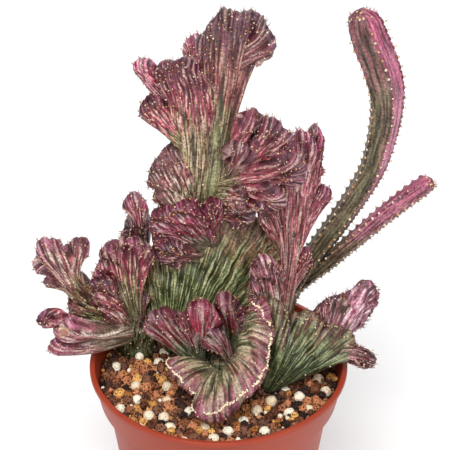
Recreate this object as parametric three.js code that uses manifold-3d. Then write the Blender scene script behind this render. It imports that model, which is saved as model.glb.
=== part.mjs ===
// A crested cereus in a 12 cm nursery pot: ribbed fans, curled crests and two columns that stand in a
// gritty substrate. Millimetres, +Z up, the front towards -Y, the origin under the middle of the pot.
import * as THREE from "three";
import { mergeVertices } from "three/addons/utils/BufferGeometryUtils.js";
import Module from "manifold-3d";

const wasm = await Module();
wasm.setup();

// Driving dimensions of the pot
const potHeight = 105;
const rimRadius = 60;
const lipWidth = 2.5;
const lipHeight = 2.5;
const collarHeight = 17;
const collarDraft = 2.9;
const collarStep = 3.4;
const bodyDraft = 12.3;
const wall = 1.6;
const floorThickness = 2;
const drainHoles = 8;
const drainHoleRadius = 3;
const drainCircleRadius = 28;
const potSides = 32;

// Driving dimensions of the substrate
const soilLevel = 95.6;
const soilGap = 0.3;
const granuleTries = 1200;
const granuleRadius = [3.8, 5];
const granuleSink = 0.25;
const granuleClearance = 0.8;

// Driving dimensions of the plant
const footTop = 99.5;
const footDepth = 6;
const footGap = 0.4;
const footSides = 14;
const ribRelief = 0.75;
const ribReliefShare = 0.24;
const crestScallop = 0.5;
const tallCrest = 45;
const columnRelief = 0.16;
const spineLength = 2.4;
const spineRadius = 0.4;
const spineSink = 0.6;
const neighbourGap = 0.35;
const shortestEdge = 0.02;
const hair = 0.01;

// The crests of each stem. root and edge run the same way, from the left end to the right end of the
// crest seen from the front: root is where it leaves its foot or its neighbour, edge is the growing line.
// bow bends the sheet between them, thickness is given at the root and at the edge.
const frontCrests = [
  { root: [[0, -8, 97], [4, -13, 97]], bow: [[0, 0, 6], [0, 0, 8], [0, 0, 8]], thickness: [9, 5], ribs: 5,
    edge: [[-23, -14, 116], [-24, -18, 115], [-20, -23, 113], [-14, -29, 110], [-9, -31, 108]] },
  { root: [[0, -13, 97], [8, -14, 97], [12, -6, 97]], thickness: [9, 6], ribs: 14,
    bow: [[-1, 3, 9], [0, 5, 12], [-3, 3, 13], [-4, 3, 13], [-1, 2, 8]],
    edge: [[-9, -33, 106], [-8, -41, 103], [-2, -43, 102], [6, -41, 107], [12, -37, 111], [19, -31, 115],
      [22, -26, 121], [24, -21, 127], [26, -17, 132], [24, -12, 137], [21, -8, 142], [16, -5, 144]] },
  { root: [[-4, 2, 99], [2, 5, 99]], bow: [[1, -1, 0], [0, -2, 1], [2, 0, 0]], thickness: [9, 6], ribs: 6,
    edge: [[-27, 9, 112], [-32, 10, 120], [-32, 10, 126], [-26, 11, 127], [-21, 11, 126], [-16, 9, 123]] },
  { root: [[-3, 4, 99], [9, 5, 98]], bow: [[-1, 0, 2], [0, -3, 2], [2, 0, 1]], thickness: [9, 6], ribs: 8,
    edge: [[-17, 4, 122], [-16, 3, 131], [-12, 3, 137], [-6, 4, 139], [-1, 5, 134], [4, 6, 135], [8, 6, 130],
      [11, 6, 119]] },
  { root: [[2, -2, 97], [9, 2, 97]], bow: [[1, 0, 1], [2, 0, 1]], thickness: [8, 5], ribs: 4,
    edge: [[-7, -3, 122], [-7, -3, 128], [-2, -3, 129], [4, -2, 124]] },
];

const rightFrontCrests = [
  { root: [[18, -8, 97], [29, -10, 97]], bow: [[1, -2, 0], [0, -4, 1], [0, -3, 2], [2, -1, 4]],
    thickness: [10, 6], ribs: 13,
    edge: [[20, 2, 132], [23, 3, 139], [28, 2, 138], [32, 0, 134], [41, 0, 134], [47, -1, 130], [55, -2, 127],
      [61, -3, 124], [64, -5, 120], [70, -9, 118], [72, -12, 114], [70, -13, 110]] },
  { root: [[46, -4, 112], [54, -5, 112]], bow: [[-2, 1, 0], [1, 1, 2]], thickness: [8, 6], ribs: 8,
    edge: [[43, 11, 125], [48, 12, 130], [55, 14, 133], [64, 15, 137], [69, 16, 140], [73, 17, 136],
      [73, 16, 130], [68, 14, 124], [65, 12, 116]] },
];

const centreCrests = [
  { root: [[-24, 19, 97], [-6, 19, 97]], bow: [[0, -1, 0], [0, -4, 1], [-2, -3, 5]],
    thickness: [10, 7], ribs: 11,
    edge: [[-34, 27, 110], [-34, 28, 130], [-31, 30, 148], [-18, 31, 159], [-2, 32, 166], [12, 32, 165],
      [23, 33, 160], [28, 33, 149], [27, 31, 138], [19, 27, 127]] },
  { root: [[-12, 31, 155], [0, 31, 157]], bow: [[0, 0, 0]], thickness: [9, 9], ribs: 4,
    edge: [[-12, 27, 178], [-7, 27, 181], [-2, 26, 180]] },
  { root: [[-8, 26, 180], [-3, 26, 180]], bow: [[3, 0, 2], [0, -2, 0], [-2, 0, 0]],
    thickness: [10, 7], ribs: 8,
    edge: [[-6, 17, 266], [-3, 15, 274], [1, 13, 278], [7, 12, 280], [13, 12, 280], [18, 11, 277],
      [22, 10, 272], [25, 8, 265]] },
  { root: [[-12, 26, 180], [-7, 26, 180]], bow: [[6, -2, 2], [2, -4, 0], [1, 1, 0]],
    thickness: [10, 7], ribs: 7,
    edge: [[-26, 19, 247], [-24, 16, 255], [-18, 13, 256], [-13, 11, 259], [-8, 11, 255], [-4, 15, 246]] },
  { root: [[-7, 26, 222], [-3, 26, 222]], bow: [[0, 1, 0]], thickness: [7, 6], ribs: 5,
    edge: [[-15, 31, 251], [-13, 32, 257], [-9, 33, 258], [-5, 33, 254], [-2, 31, 247]] },
  { root: [[-14, 23, 214], [-11, 23, 218]], bow: [[0, 0, 0]], thickness: [7, 6], ribs: 3,
    edge: [[-32, 22, 239], [-36, 21, 249], [-34, 21, 253], [-29, 23, 247]] },
  { root: [[-13, 24, 202], [-10, 23, 207]], bow: [[0, -1, 1]], thickness: [7, 6], ribs: 3,
    edge: [[-32, 13, 233], [-33, 12, 238], [-30, 12, 241], [-26, 14, 239]] },
  { root: [[-11, 26, 171], [-7, 26, 176]], bow: [[0, -1, 0], [0, -4, 1], [0, -1, 0]],
    thickness: [9, 6], ribs: 7,
    edge: [[-16, 24, 176], [-24, 21, 181], [-29, 18, 191], [-29, 17, 198], [-27, 17, 206], [-23, 19, 209],
      [-18, 22, 211], [-14, 25, 208]] },
  { root: [[2, 19, 214], [5, 17, 210]], bow: [[-1, 0, 1]], thickness: [7, 6], ribs: 4,
    edge: [[9, 13, 231], [14, 10, 234], [18, 8, 232], [18, 7, 227], [14, 8, 221]] },
  { root: [[1, 18, 203], [3, 17, 201]], bow: [[0, 0, 1]], thickness: [6, 6], ribs: 3,
    edge: [[6, 12, 216], [10, 9, 221], [13, 7, 219], [13, 7, 213], [10, 9, 209]] },
  { root: [[-5, 25, 183], [-2, 23, 177]], bow: [[0, -1, 4], [1, -1, 1], [0, -1, 1]],
    thickness: [9, 6], ribs: 8,
    edge: [[19, 10, 230], [24, 7, 231], [28, 4, 229], [32, 2, 225], [32, 1, 219], [31, 0, 215], [35, -2, 217],
      [38, -3, 212], [37, -3, 206], [33, -1, 201]] },
  { root: [[-3, 24, 176], [-2, 24, 172]], bow: [[0, -1, 2]], thickness: [7, 6], ribs: 4,
    edge: [[22, 5, 200], [26, 2, 196], [27, 1, 191], [21, 3, 186]] },
  { root: [[-3, 25, 172], [-2, 25, 168]], bow: [[0, -1, 2]], thickness: [7, 6], ribs: 5,
    edge: [[7, 10, 193], [12, 7, 192], [12, 7, 186], [16, 9, 181], [15, 10, 175], [9, 13, 171]] },
  { root: [[-9, 28, 150], [2, 28, 158]], bow: [[0, -2, 0], [0, -4, 2], [0, -2, 0]],
    thickness: [9, 6], ribs: 9,
    edge: [[-24, 18, 158], [-30, 15, 166], [-30, 13, 174], [-28, 12, 180], [-23, 11, 181], [-17, 11, 183],
      [-12, 12, 182], [-8, 14, 177], [-5, 12, 184], [-1, 12, 186], [3, 13, 182], [5, 14, 178]] },
  { root: [[-4, 29, 160], [0, 29, 160]], bow: [[0, -1, 0]], thickness: [5, 5], ribs: 2,
    edge: [[-5, 14, 167], [-3, 12, 169], [-1, 14, 167]] },
  { root: [[-12, 28, 146], [-7, 28, 150]], bow: [[0, -1, 0]], thickness: [7, 7], ribs: 4,
    edge: [[-19, 14, 147], [-25, 13, 153], [-27, 13, 160], [-22, 14, 163], [-16, 14, 161]] },
];

const leftCrests = [
  { root: [[-44, 23, 98], [-35, 23, 98]], bow: [[0, -2, 0], [0, -4, 1], [-4, -1, 0]],
    thickness: [9, 6], ribs: 10,
    edge: [[-56, 20, 121], [-59, 18, 135], [-55, 16, 146], [-54, 15, 157], [-49, 15, 162], [-41, 15, 163],
      [-34, 16, 160], [-28, 18, 154]] },
  { root: [[-46, 22, 134], [-39, 21, 136]], bow: [[0, 4, 0]], thickness: [7, 6], ribs: 4,
    edge: [[-44, 27, 161], [-43, 27, 174], [-38, 26, 180], [-35, 26, 180], [-31, 25, 175], [-30, 26, 167]] },
  { root: [[-49, 24, 104], [-43, 24, 113]], bow: [[-1, -1, -1], [-2, 0, 1]], thickness: [9, 8], ribs: 3,
    edge: [[-71, 15, 134], [-70, 16, 141], [-65, 18, 144], [-62, 19, 141]] },
  { root: [[-68, 16, 131], [-63, 17, 135]], bow: [[-1, 0, -1], [0, 0, 1]], thickness: [8, 6], ribs: 5,
    edge: [[-82, 12, 146], [-83, 12, 155], [-79, 12, 162], [-73, 13, 163], [-69, 14, 157]] },
  { root: [[-65, 18, 133], [-60, 19, 137]], bow: [[0, 0, 0], [-1, 0, 0]], thickness: [8, 6], ribs: 4,
    edge: [[-69, 19, 153], [-67, 20, 161], [-61, 21, 162], [-58, 22, 153]] },
  { root: [[-43, 23, 104], [-42, 22, 111]], bow: [[0, -2, 0]], thickness: [8, 6], ribs: 4,
    edge: [[-63, 11, 119], [-68, 10, 124], [-69, 11, 130], [-65, 13, 133]] },
  { root: [[-41, 20, 102], [-42, 22, 110]], bow: [[1, -6, 4], [0, -5, 0]], thickness: [9, 8], ribs: 4,
    edge: [[-73, -7, 116], [-77, -9, 121], [-76, -9, 128], [-71, -6, 132]] },
  { root: [[-69, -4, 127], [-69, -3, 131]], bow: [[0, 0, -1]], thickness: [5, 5], ribs: 3,
    edge: [[-77, -10, 131], [-81, -11, 136], [-78, -10, 139], [-74, -8, 137]] },
];

const rightCrests = [
  { root: [[22, 25, 98], [31, 25, 98]], bow: [[1, 0, 0], [-1, 0, 0]], thickness: [9, 8], ribs: 4,
    edge: [[27, 31, 150], [32, 31, 154], [37, 32, 150]] },
  { root: [[28, 31, 146], [36, 32, 146]], bow: [[3, 1, -3], [2, 0, 0], [1, 0, 0], [0, 0, 0]],
    thickness: [8, 6], ribs: 10,
    edge: [[19, 26, 168], [18, 25, 174], [21, 26, 178], [26, 29, 182], [31, 28, 197], [33, 26, 209],
      [36, 25, 214], [41, 26, 213], [44, 28, 215], [47, 29, 209], [47, 30, 199], [48, 31, 189],
      [51, 31, 181]] },
  { root: [[31, 30, 122], [34, 31, 122]], bow: [[0, 0, 1]], thickness: [7, 6], ribs: 3,
    edge: [[37, 30, 146], [41, 30, 149], [44, 31, 144], [42, 32, 138]] },
  { root: [[21, 24, 98], [28, 24, 98]], bow: [[1, -1, 0], [0, -2, 0], [0, -1, 0]],
    thickness: [9, 6], ribs: 7,
    edge: [[15, 17, 124], [14, 15, 133], [15, 14, 143], [17, 15, 151], [21, 16, 154], [25, 18, 151],
      [28, 21, 143]] },
];

// The two columns: the middle line of each and its radius over the ribs
const tallColumn = {
  path: [[29, 38, 97], [32, 39, 112], [38, 39, 125], [48, 38, 141], [58, 37, 157], [66, 35, 175],
    [71, 33, 190], [74, 32, 205], [75, 31, 219], [74, 30, 232], [70, 30, 247], [66, 30, 257], [63, 30, 266]],
  radii: [6, 5, 4.8, 4.7, 4.8, 5, 5.4, 6, 7.2, 8.5, 8.8, 8.1],
  ribs: 5,
  rows: 15,
};
const leaningColumn = {
  path: [[36, 40, 118], [43, 40, 125], [51, 39, 133], [58, 37, 142], [66, 36, 151], [75, 34, 162],
    [84, 31, 173], [93, 29, 184]],
  radii: [4, 4, 4.2, 4.4, 4.6, 4.8, 4.9, 4.5],
  ribs: 5,
  rows: 9,
};

// Each stem's foot is an upright oval stub: centre, radii and turn in degrees
const stems = [
  { name: "crest_front", color: "#8a5a63", crests: frontCrests,
    foot: { at: [3, -3], radii: [11, 13], turn: -15 } },
  { name: "crest_front_right", color: "#566a49", crests: rightFrontCrests,
    foot: { at: [23.5, -9], radii: [8.5, 5.5], turn: -10 } },
  { name: "crest_centre", color: "#6d6a4c", crests: centreCrests,
    foot: { at: [-15, 19], radii: [12, 6.5], turn: 0 } },
  { name: "crest_left", color: "#8c5868", crests: leftCrests,
    foot: { at: [-39, 23], radii: [8, 6], turn: 0 } },
  { name: "branch_right", color: "#8d5560", crests: rightCrests,
    foot: { at: [26, 24.5], radii: [8, 6], turn: 0 } },
  { name: "column_stems", color: "#7a5a5c", crests: [], columns: [tallColumn, leaningColumn],
    foot: { at: [29, 38], radii: [6, 5.5], turn: 0 } },
];

// A seeded random number from 0 to 1
function randomSource(seed) {
  let state = seed;
  return () => {
    state = (state * 1664525 + 1013904223) % 4294967296;
    return state / 4294967296;
  };
}

// A solid from closed triangles, and a geometry back from a solid
function solidOf(geometry) {
  const bare = geometry.clone();
  bare.deleteAttribute("normal");
  bare.deleteAttribute("uv");
  const merged = mergeVertices(bare, 1e-4);
  const corners = merged.index.array;
  const kept = [];
  for (let i = 0; i < corners.length; i += 3) {
    const [a, b, c] = corners.slice(i, i + 3);
    if (a !== b && b !== c && c !== a) {
      kept.push(a, b, c);
    }
  }
  const mesh = new wasm.Mesh({
    numProp: 3,
    vertProperties: new Float32Array(merged.attributes.position.array),
    triVerts: new Uint32Array(kept),
  });
  return new wasm.Manifold(mesh);
}

function solidOfTriangles(points) {
  const coordinates = points.flatMap((point) => point.toArray());
  const geometry = new THREE.BufferGeometry();
  geometry.setAttribute("position", new THREE.Float32BufferAttribute(coordinates, 3));
  return solidOf(geometry);
}

function geometryOf(solid) {
  const mesh = solid.getMesh();
  const geometry = new THREE.BufferGeometry();
  geometry.setAttribute("position", new THREE.BufferAttribute(mesh.vertProperties, 3));
  geometry.setIndex(new THREE.BufferAttribute(mesh.triVerts, 1));
  geometry.computeVertexNormals();
  setApart(geometry);
  return geometry;
}

// Corners that fall on one another are set a hair apart, inwards, so that each edge keeps its two faces
function setApart(geometry) {
  const { position, normal } = geometry.attributes;
  const taken = new Set();
  for (let i = 0; i < position.count; i += 1) {
    const corner = new THREE.Vector3().fromBufferAttribute(position, i);
    const cell = corner.toArray().map((value) => Math.round(value / hair)).join();
    if (taken.has(cell)) {
      corner.addScaledVector(new THREE.Vector3().fromBufferAttribute(normal, i), -hair);
      position.setXYZ(i, corner.x, corner.y, corner.z);
    }
    taken.add(cell);
  }
}

// Short edges left by the joins are taken out, and only the main body is kept
function mainBody(solid) {
  const bodies = solid.simplify(shortestEdge).decompose();
  return bodies.reduce((best, body) => (body.volume() > best.volume() ? body : best));
}

// A smooth curve through points, with the share t measured along its chords
function along(points, t) {
  if (points.length === 1) {
    return points[0].clone();
  }
  const gaps = points.slice(1).map((point, i) => point.distanceTo(points[i]));
  let rest = t * gaps.reduce((sum, gap) => sum + gap, 0);
  let i = 0;
  while (i < gaps.length - 1 && rest > gaps[i]) {
    rest -= gaps[i];
    i += 1;
  }
  const s = rest / gaps[i];
  const point = points[i].clone().multiplyScalar(2 * s ** 3 - 3 * s ** 2 + 1);
  point.addScaledVector(points[i + 1], 3 * s ** 2 - 2 * s ** 3);
  point.addScaledVector(slopeAt(points, gaps, i), gaps[i] * (s ** 3 - 2 * s ** 2 + s));
  return point.addScaledVector(slopeAt(points, gaps, i + 1), gaps[i] * (s ** 3 - s ** 2));
}

function slopeAt(points, gaps, i) {
  const slope = (k) => points[k + 1].clone().sub(points[k]).divideScalar(gaps[k]);
  if (i === 0) {
    return slope(0);
  }
  if (i === gaps.length) {
    return slope(i - 1);
  }
  const blend = slope(i - 1).multiplyScalar(gaps[i]).addScaledVector(slope(i), gaps[i - 1]);
  return blend.divideScalar(gaps[i - 1] + gaps[i]);
}

// Shares between equal stations, for bows and radii
function blendStations(values, t, mix) {
  const place = t * (values.length - 1);
  const i = Math.min(values.length - 2, Math.floor(place));
  return i < 0 ? values[0] : mix(values[i], values[i + 1], place - i);
}

const vectors = (points) => points.map((point) => new THREE.Vector3(...point));

// The middle surface of a crest: from its root (v = 0), bowed, to its growing line (v = 1)
function middle(crest, u, v) {
  const root = along(crest.root, u);
  const edge = along(crest.edge, u);
  const bow = blendStations(crest.bow, u, (a, b, s) => a.clone().lerp(b, s));
  const bend = root.clone().add(edge).multiplyScalar(0.5).addScaledVector(bow, 2);
  root.multiplyScalar((1 - v) ** 2);
  return root.addScaledVector(bend, 2 * v * (1 - v)).addScaledVector(edge, v * v);
}

// Half thickness falls to nothing on a round edge, within one half thickness of it
const roundEdge = (distance, half) => (distance >= half ? 1 : Math.sqrt(1 - (1 - distance / half) ** 2));

// A grid of points on both faces of a crest, with its ribs and its scalloped growing line
function crestGrid(spec, grow) {
  const crest = { ...spec, root: vectors(spec.root), edge: vectors(spec.edge), bow: vectors(spec.bow) };
  const [rootThickness, edgeThickness] = spec.thickness;
  const columns = 2 * spec.ribs;
  const reach = middle(crest, 0.5, 0).distanceTo(middle(crest, 0.5, 1));
  const band = Math.min(0.3, edgeThickness / 2 / reach);
  const bodyRows = reach > tallCrest ? 3 : 2;
  const shares = [...Array(bodyRows + 1).keys()].map((row) => (row / bodyRows) * (1 - band * 0.7));
  shares.push(1);
  const step = 0.01;
  const rows = shares.map((v) => {
    const line = [...Array(columns + 1).keys()].map((column) => middle(crest, column / columns, v));
    const width = line.slice(1).reduce((sum, point, i) => sum + point.distanceTo(line[i]), 0);
    const relief = Math.min(ribRelief, (ribReliefShare * width) / spec.ribs);
    const thin = (rootThickness + (edgeThickness - rootThickness) * v) / 2;
    return line.map((point, column) => {
      const u = column / columns;
      const above = middle(crest, u, Math.min(1, v + step));
      const growth = above.clone().sub(middle(crest, u, Math.max(0, v - step))).normalize();
      const across = middle(crest, Math.min(1, u + step), v).sub(middle(crest, Math.max(0, u - step), v));
      const normal = across.clone().cross(growth).normalize();
      const rib = column % 2 === 1 ? relief : -relief;
      const end = column === columns ? grow : -grow;
      const side = roundEdge(Math.min(u, 1 - u) * width, thin);
      const half = (thin + rib) * side * roundEdge((1 - v) * reach, edgeThickness / 2) + grow;
      const tip = point.addScaledVector(growth, (column % 2 === 1 ? crestScallop * v : 0) + grow * v);
      if (column % columns === 0) {
        tip.addScaledVector(across.normalize(), end);
      }
      return { tip, normal, growth, half };
    });
  });
  const offset = (place, side) => place.tip.clone().addScaledVector(place.normal, side * place.half);
  const face = (side) => rows.map((row) => row.map((place) => offset(place, side)));
  return { rows, columns, front: face(1), back: face(-1) };
}

// The grid closed to a solid: two faces, and strips round the root, the sides and the growing line
function crestSolid(spec, grow = 0) {
  const { rows, columns, front, back } = crestGrid(spec, grow);
  const last = rows.length - 1;
  const triangles = [];
  const quad = (a, b, c, d) => triangles.push(a, b, c, a, c, d);
  for (let row = 0; row < last; row += 1) {
    for (let column = 0; column < columns; column += 1) {
      quad(front[row][column], front[row][column + 1], front[row + 1][column + 1], front[row + 1][column]);
      quad(back[row][column + 1], back[row][column], back[row + 1][column], back[row + 1][column + 1]);
    }
    quad(back[row][0], front[row][0], front[row + 1][0], back[row + 1][0]);
    quad(front[row][columns], back[row][columns], back[row + 1][columns], front[row + 1][columns]);
  }
  for (let column = 0; column < columns; column += 1) {
    quad(front[0][column + 1], front[0][column], back[0][column], back[0][column + 1]);
    quad(front[last][column], front[last][column + 1], back[last][column + 1], back[last][column]);
  }
  return solidOfTriangles(triangles);
}

// Rings of a ribbed column: the ribs are the even corners, and the last rings close its round tip
function columnRings(spec, grow) {
  const path = vectors(spec.path);
  const corners = 2 * spec.ribs;
  const tipRings = [[1, 0.9], [1.5, 0.6]];
  const rings = [...Array(spec.rows + 1).keys()].map((row) => {
    const t = row / spec.rows;
    const centre = along(path, t);
    const radius = blendStations(spec.radii, t, (a, b, s) => a + (b - a) * s);
    return { centre, radius, t };
  });
  const end = rings[spec.rows];
  const heading = end.centre.clone().sub(rings[spec.rows - 1].centre).normalize();
  tipRings.forEach(([rise, share]) => {
    const centre = end.centre.clone().addScaledVector(heading, end.radius * 0.45 * rise);
    rings.push({ centre, radius: end.radius * share, t: 1 });
  });
  return rings.map(({ centre, radius, t }, row) => {
    const before = rings[Math.max(0, row - 1)].centre;
    const after = rings[Math.min(rings.length - 1, row + 1)].centre;
    const growth = after.clone().sub(before).normalize();
    const side = new THREE.Vector3(0, 1, 0).cross(growth).normalize();
    const out = growth.clone().cross(side);
    const points = [...Array(corners).keys()].map((corner) => {
      const angle = (2 * Math.PI * corner) / corners;
      const reach = radius * (corner % 2 === 0 ? 1 : 1 - 2 * columnRelief) + grow;
      const point = centre.clone().addScaledVector(side, reach * Math.cos(angle));
      return point.addScaledVector(out, reach * Math.sin(angle));
    });
    return { centre, growth, points, t };
  });
}

function columnSolid(spec, grow = 0) {
  const rings = columnRings(spec, grow);
  const corners = 2 * spec.ribs;
  const last = rings.length - 1;
  const top = rings[last].centre.clone().addScaledVector(rings[last].growth, 0.8 + grow);
  const triangles = [];
  for (let corner = 0; corner < corners; corner += 1) {
    const next = (corner + 1) % corners;
    for (let row = 0; row < last; row += 1) {
      const [low, high] = [rings[row].points, rings[row + 1].points];
      triangles.push(low[corner], low[next], high[next], low[corner], high[next], high[corner]);
    }
    triangles.push(rings[0].points[next], rings[0].points[corner], rings[0].centre);
    triangles.push(rings[last].points[corner], rings[last].points[next], top);
  }
  return solidOfTriangles(triangles);
}

// A three-sided spine with its root sunk in the flesh
function spineSolid(base, direction) {
  const side = new THREE.Vector3(0.3, 0.5, 0.8).cross(direction).normalize();
  const other = direction.clone().cross(side);
  const foot = base.clone().addScaledVector(direction, -spineSink);
  const ring = [0, 1, 2].map((corner) => {
    const angle = (2 * Math.PI * corner) / 3;
    const out = side.clone().multiplyScalar(spineRadius * Math.cos(angle));
    return foot.clone().add(out).addScaledVector(other, spineRadius * Math.sin(angle));
  });
  const tip = base.clone().addScaledVector(direction, spineLength);
  const [a, b, c] = ring;
  return solidOfTriangles([a, b, tip, b, c, tip, c, a, tip, a, c, b]);
}

// Where the spines stand: one beside the growing line on each rib, on one face and the other by turns
function crestSpines(spec) {
  const { rows, columns, front, back } = crestGrid(spec, 0);
  const edgeRow = rows.length - 1;
  const places = [];
  for (let column = 1; column < columns; column += 2) {
    const face = column % 4 === 1 ? front : back;
    const base = face[edgeRow][column].clone().add(face[edgeRow - 1][column]);
    base.add(face[edgeRow][column + 1]).divideScalar(3);
    const { growth, normal } = rows[edgeRow][column];
    const lean = column % 4 === 1 ? 0.3 : -0.3;
    places.push({ base, direction: growth.clone().addScaledVector(normal, lean).normalize() });
  }
  return places;
}

function columnSpines(spec) {
  const rings = columnRings(spec, 0);
  const places = [];
  for (let row = 1; row < spec.rows; row += 1) {
    for (let corner = 2 * (row % 2); corner < 2 * spec.ribs; corner += 4) {
      const [low, high] = [rings[row], rings[row + 1]];
      const base = low.points[corner].clone().add(high.points[corner]);
      base.add(high.points[(corner + 1) % (2 * spec.ribs)]).divideScalar(3);
      const out = low.points[corner].clone().sub(low.centre).normalize();
      places.push({ base, direction: out.addScaledVector(low.growth, 0.5).normalize() });
    }
  }
  return places;
}

// The plain oval stub that a stem stands on in the substrate, and with a gap, its hole
function footSolid(foot, gap = 0) {
  const height = footTop - soilLevel + footDepth + gap;
  const stub = new THREE.CylinderGeometry(1, 1, height, footSides);
  stub.rotateX(Math.PI / 2);
  stub.scale(foot.radii[0] + gap, foot.radii[1] + gap, 1);
  stub.rotateZ((foot.turn * Math.PI) / 180);
  stub.translate(foot.at[0], foot.at[1], footTop - height / 2);
  return solidOf(stub);
}

function stemSolid(stem, grow = 0) {
  const parts = stem.crests.map((crest) => crestSolid(crest, grow));
  (stem.columns ?? []).forEach((column) => parts.push(columnSolid(column, grow)));
  parts.push(footSolid(stem.foot, grow));
  return wasm.Manifold.union(parts);
}

// Every stem keeps clear of the ones before it in the list, then takes the spines that touch no other
function plantSolids() {
  const bodies = stems.map((stem, i) => {
    const others = stems.slice(0, i).map((other) => stemSolid(other, neighbourGap));
    return others.reduce((body, other) => body.subtract(other), stemSolid(stem));
  });
  stems.forEach((stem, i) => {
    const places = [...stem.crests.flatMap(crestSpines), ...(stem.columns ?? []).flatMap(columnSpines)];
    const spines = places.map(({ base, direction }) => spineSolid(base, direction));
    const free = spines.filter((spine) => bodies.every((body, k) => k === i || clearOf(spine, body)));
    bodies[i] = mainBody(wasm.Manifold.union([bodies[i], ...free]));
  });
  return bodies;
}

function clearOf(spine, body) {
  const [near, far] = [spine.boundingBox(), body.boundingBox()];
  const apart = [0, 1, 2].some((k) => near.max[k] < far.min[k] || near.min[k] > far.max[k]);
  return apart || spine.intersect(body).volume() < 1e-6;
}

function turned(profile, sides) {
  const points = profile.map(([r, z]) => new THREE.Vector2(r, z));
  const lathe = new THREE.LatheGeometry(points, sides);
  lathe.rotateX(Math.PI / 2);
  return lathe;
}

// The pot: body, collar and lip in one turned wall, with drain holes round the middle of its floor
const collarTop = potHeight - lipHeight;
const collarBottom = potHeight - collarHeight;
const collarRadius = rimRadius - 1.4;
const collarFoot = collarRadius - collarDraft;
const shoulderRadius = collarFoot - collarStep;
const baseRadius = shoulderRadius - bodyDraft;

function innerRadius(z) {
  if (z < collarBottom) {
    const share = (z - floorThickness) / (collarBottom - floorThickness);
    return baseRadius - wall + (shoulderRadius - baseRadius) * share;
  }
  const share = (z - collarBottom) / (collarTop - collarBottom);
  return collarFoot - wall + (rimRadius - lipWidth - collarFoot + wall) * share;
}

function potSolid() {
  const profile = [
    [0, 0], [baseRadius, 0], [shoulderRadius, collarBottom], [collarFoot, collarBottom],
    [collarRadius, collarTop], [rimRadius, collarTop], [rimRadius, potHeight - 0.7],
    [rimRadius - 0.7, potHeight], [rimRadius - lipWidth + 0.6, potHeight],
    [rimRadius - lipWidth, potHeight - 0.7], [rimRadius - lipWidth, collarTop],
    [innerRadius(collarBottom + 1.5), collarBottom + 1.5], [innerRadius(collarBottom - 1), collarBottom - 1],
    [baseRadius - wall, floorThickness], [0, floorThickness],
  ];
  const holes = [...Array(drainHoles).keys()].map((hole) => {
    const angle = (2 * Math.PI * hole) / drainHoles;
    const drill = new THREE.CylinderGeometry(drainHoleRadius, drainHoleRadius, 4 * floorThickness, 8);
    drill.rotateX(Math.PI / 2);
    drill.translate(drainCircleRadius * Math.cos(angle), drainCircleRadius * Math.sin(angle), floorThickness);
    return solidOf(drill);
  });
  return holes.reduce((pot, hole) => pot.subtract(hole), solidOf(turned(profile, potSides)));
}

// The substrate: a bed that fills the pot, with rounded granules over it that keep clear of the plant
function granuleSolid(centre, radius, random) {
  const stone = new THREE.IcosahedronGeometry(radius, 0);
  stone.scale(1, 0.85 + 0.3 * random(), 0.8);
  stone.rotateX(random() * 0.6);
  stone.rotateZ(random() * 2 * Math.PI);
  stone.translate(...centre);
  return solidOf(stone);
}

function clearanceTo(points, centre) {
  return points.reduce((least, point) => Math.min(least, point.distanceTo(centre)), Infinity);
}

function granuleCentres(plant, random) {
  const skin = plant.flatMap((solid) => {
    const { vertProperties } = solid.refineToLength(2.5).getMesh();
    const points = [];
    for (let i = 0; i < vertProperties.length; i += 3) {
      if (vertProperties[i + 2] < potHeight) {
        points.push(new THREE.Vector3(...vertProperties.slice(i, i + 3)));
      }
    }
    return points;
  });
  const placed = [];
  for (let attempt = 0; attempt < granuleTries; attempt += 1) {
    const radius = granuleRadius[0] + (granuleRadius[1] - granuleRadius[0]) * random() ** 1.5;
    const away = (innerRadius(soilLevel) - soilGap - radius * 1.2) * Math.sqrt(random());
    const angle = 2 * Math.PI * random();
    const rise = -radius * granuleSink * random();
    const centre = new THREE.Vector3(away * Math.cos(angle), away * Math.sin(angle), soilLevel + rise);
    const crowded = placed.some((other) => other.centre.distanceTo(centre) < (other.radius + radius) * 0.93);
    if (!crowded && clearanceTo(skin, centre) > radius + granuleClearance) {
      placed.push({ centre, radius });
    }
  }
  return placed;
}

function substrateSolid(plant) {
  const random = randomSource(7);
  const profile = [
    [0, floorThickness + soilGap], [baseRadius - wall - soilGap, floorThickness + soilGap],
    [innerRadius(collarBottom - 2) - soilGap, collarBottom - 2],
    [innerRadius(soilLevel) - soilGap - 1.5, soilLevel], [0, soilLevel],
  ];
  const bed = solidOf(turned(profile, potSides));
  const places = granuleCentres(plant, random);
  const stones = places.map(({ centre, radius }) => granuleSolid(centre.toArray(), radius, random));
  const heap = wasm.Manifold.union([bed, ...stones]);
  return mainBody(stems.reduce((left, stem) => left.subtract(footSolid(stem.foot, footGap)), heap));
}

function piece(name, solid, color, roughness) {
  const material = new THREE.MeshStandardMaterial({ color, roughness, metalness: 0 });
  const mesh = new THREE.Mesh(geometryOf(solid), material);
  mesh.name = name;
  return mesh;
}

const plant = plantSolids();
const pottedCactus = new THREE.Group();
pottedCactus.name = "potted_crested_cereus";
pottedCactus.add(piece("pot", potSolid(), "#b65f4a", 0.5));
pottedCactus.add(piece("substrate", substrateSolid(plant), "#6b4433", 0.95));
stems.forEach((stem, i) => pottedCactus.add(piece(stem.name, plant[i], stem.color, 0.7)));

export default pottedCactus;
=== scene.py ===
"""The looks of the potted crested cereus: ribbed flesh, areoles, spines, gritty stones and the nursery pot.

Lengths are in millimetres up to the moment a mesh is made, in the frame of the CAD part: +Z up, the front
towards -Y, the origin under the middle of the pot.
"""

import math
from dataclasses import dataclass

import bpy
import numpy as np
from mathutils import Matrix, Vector, noise
from mathutils.kdtree import KDTree


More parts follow.
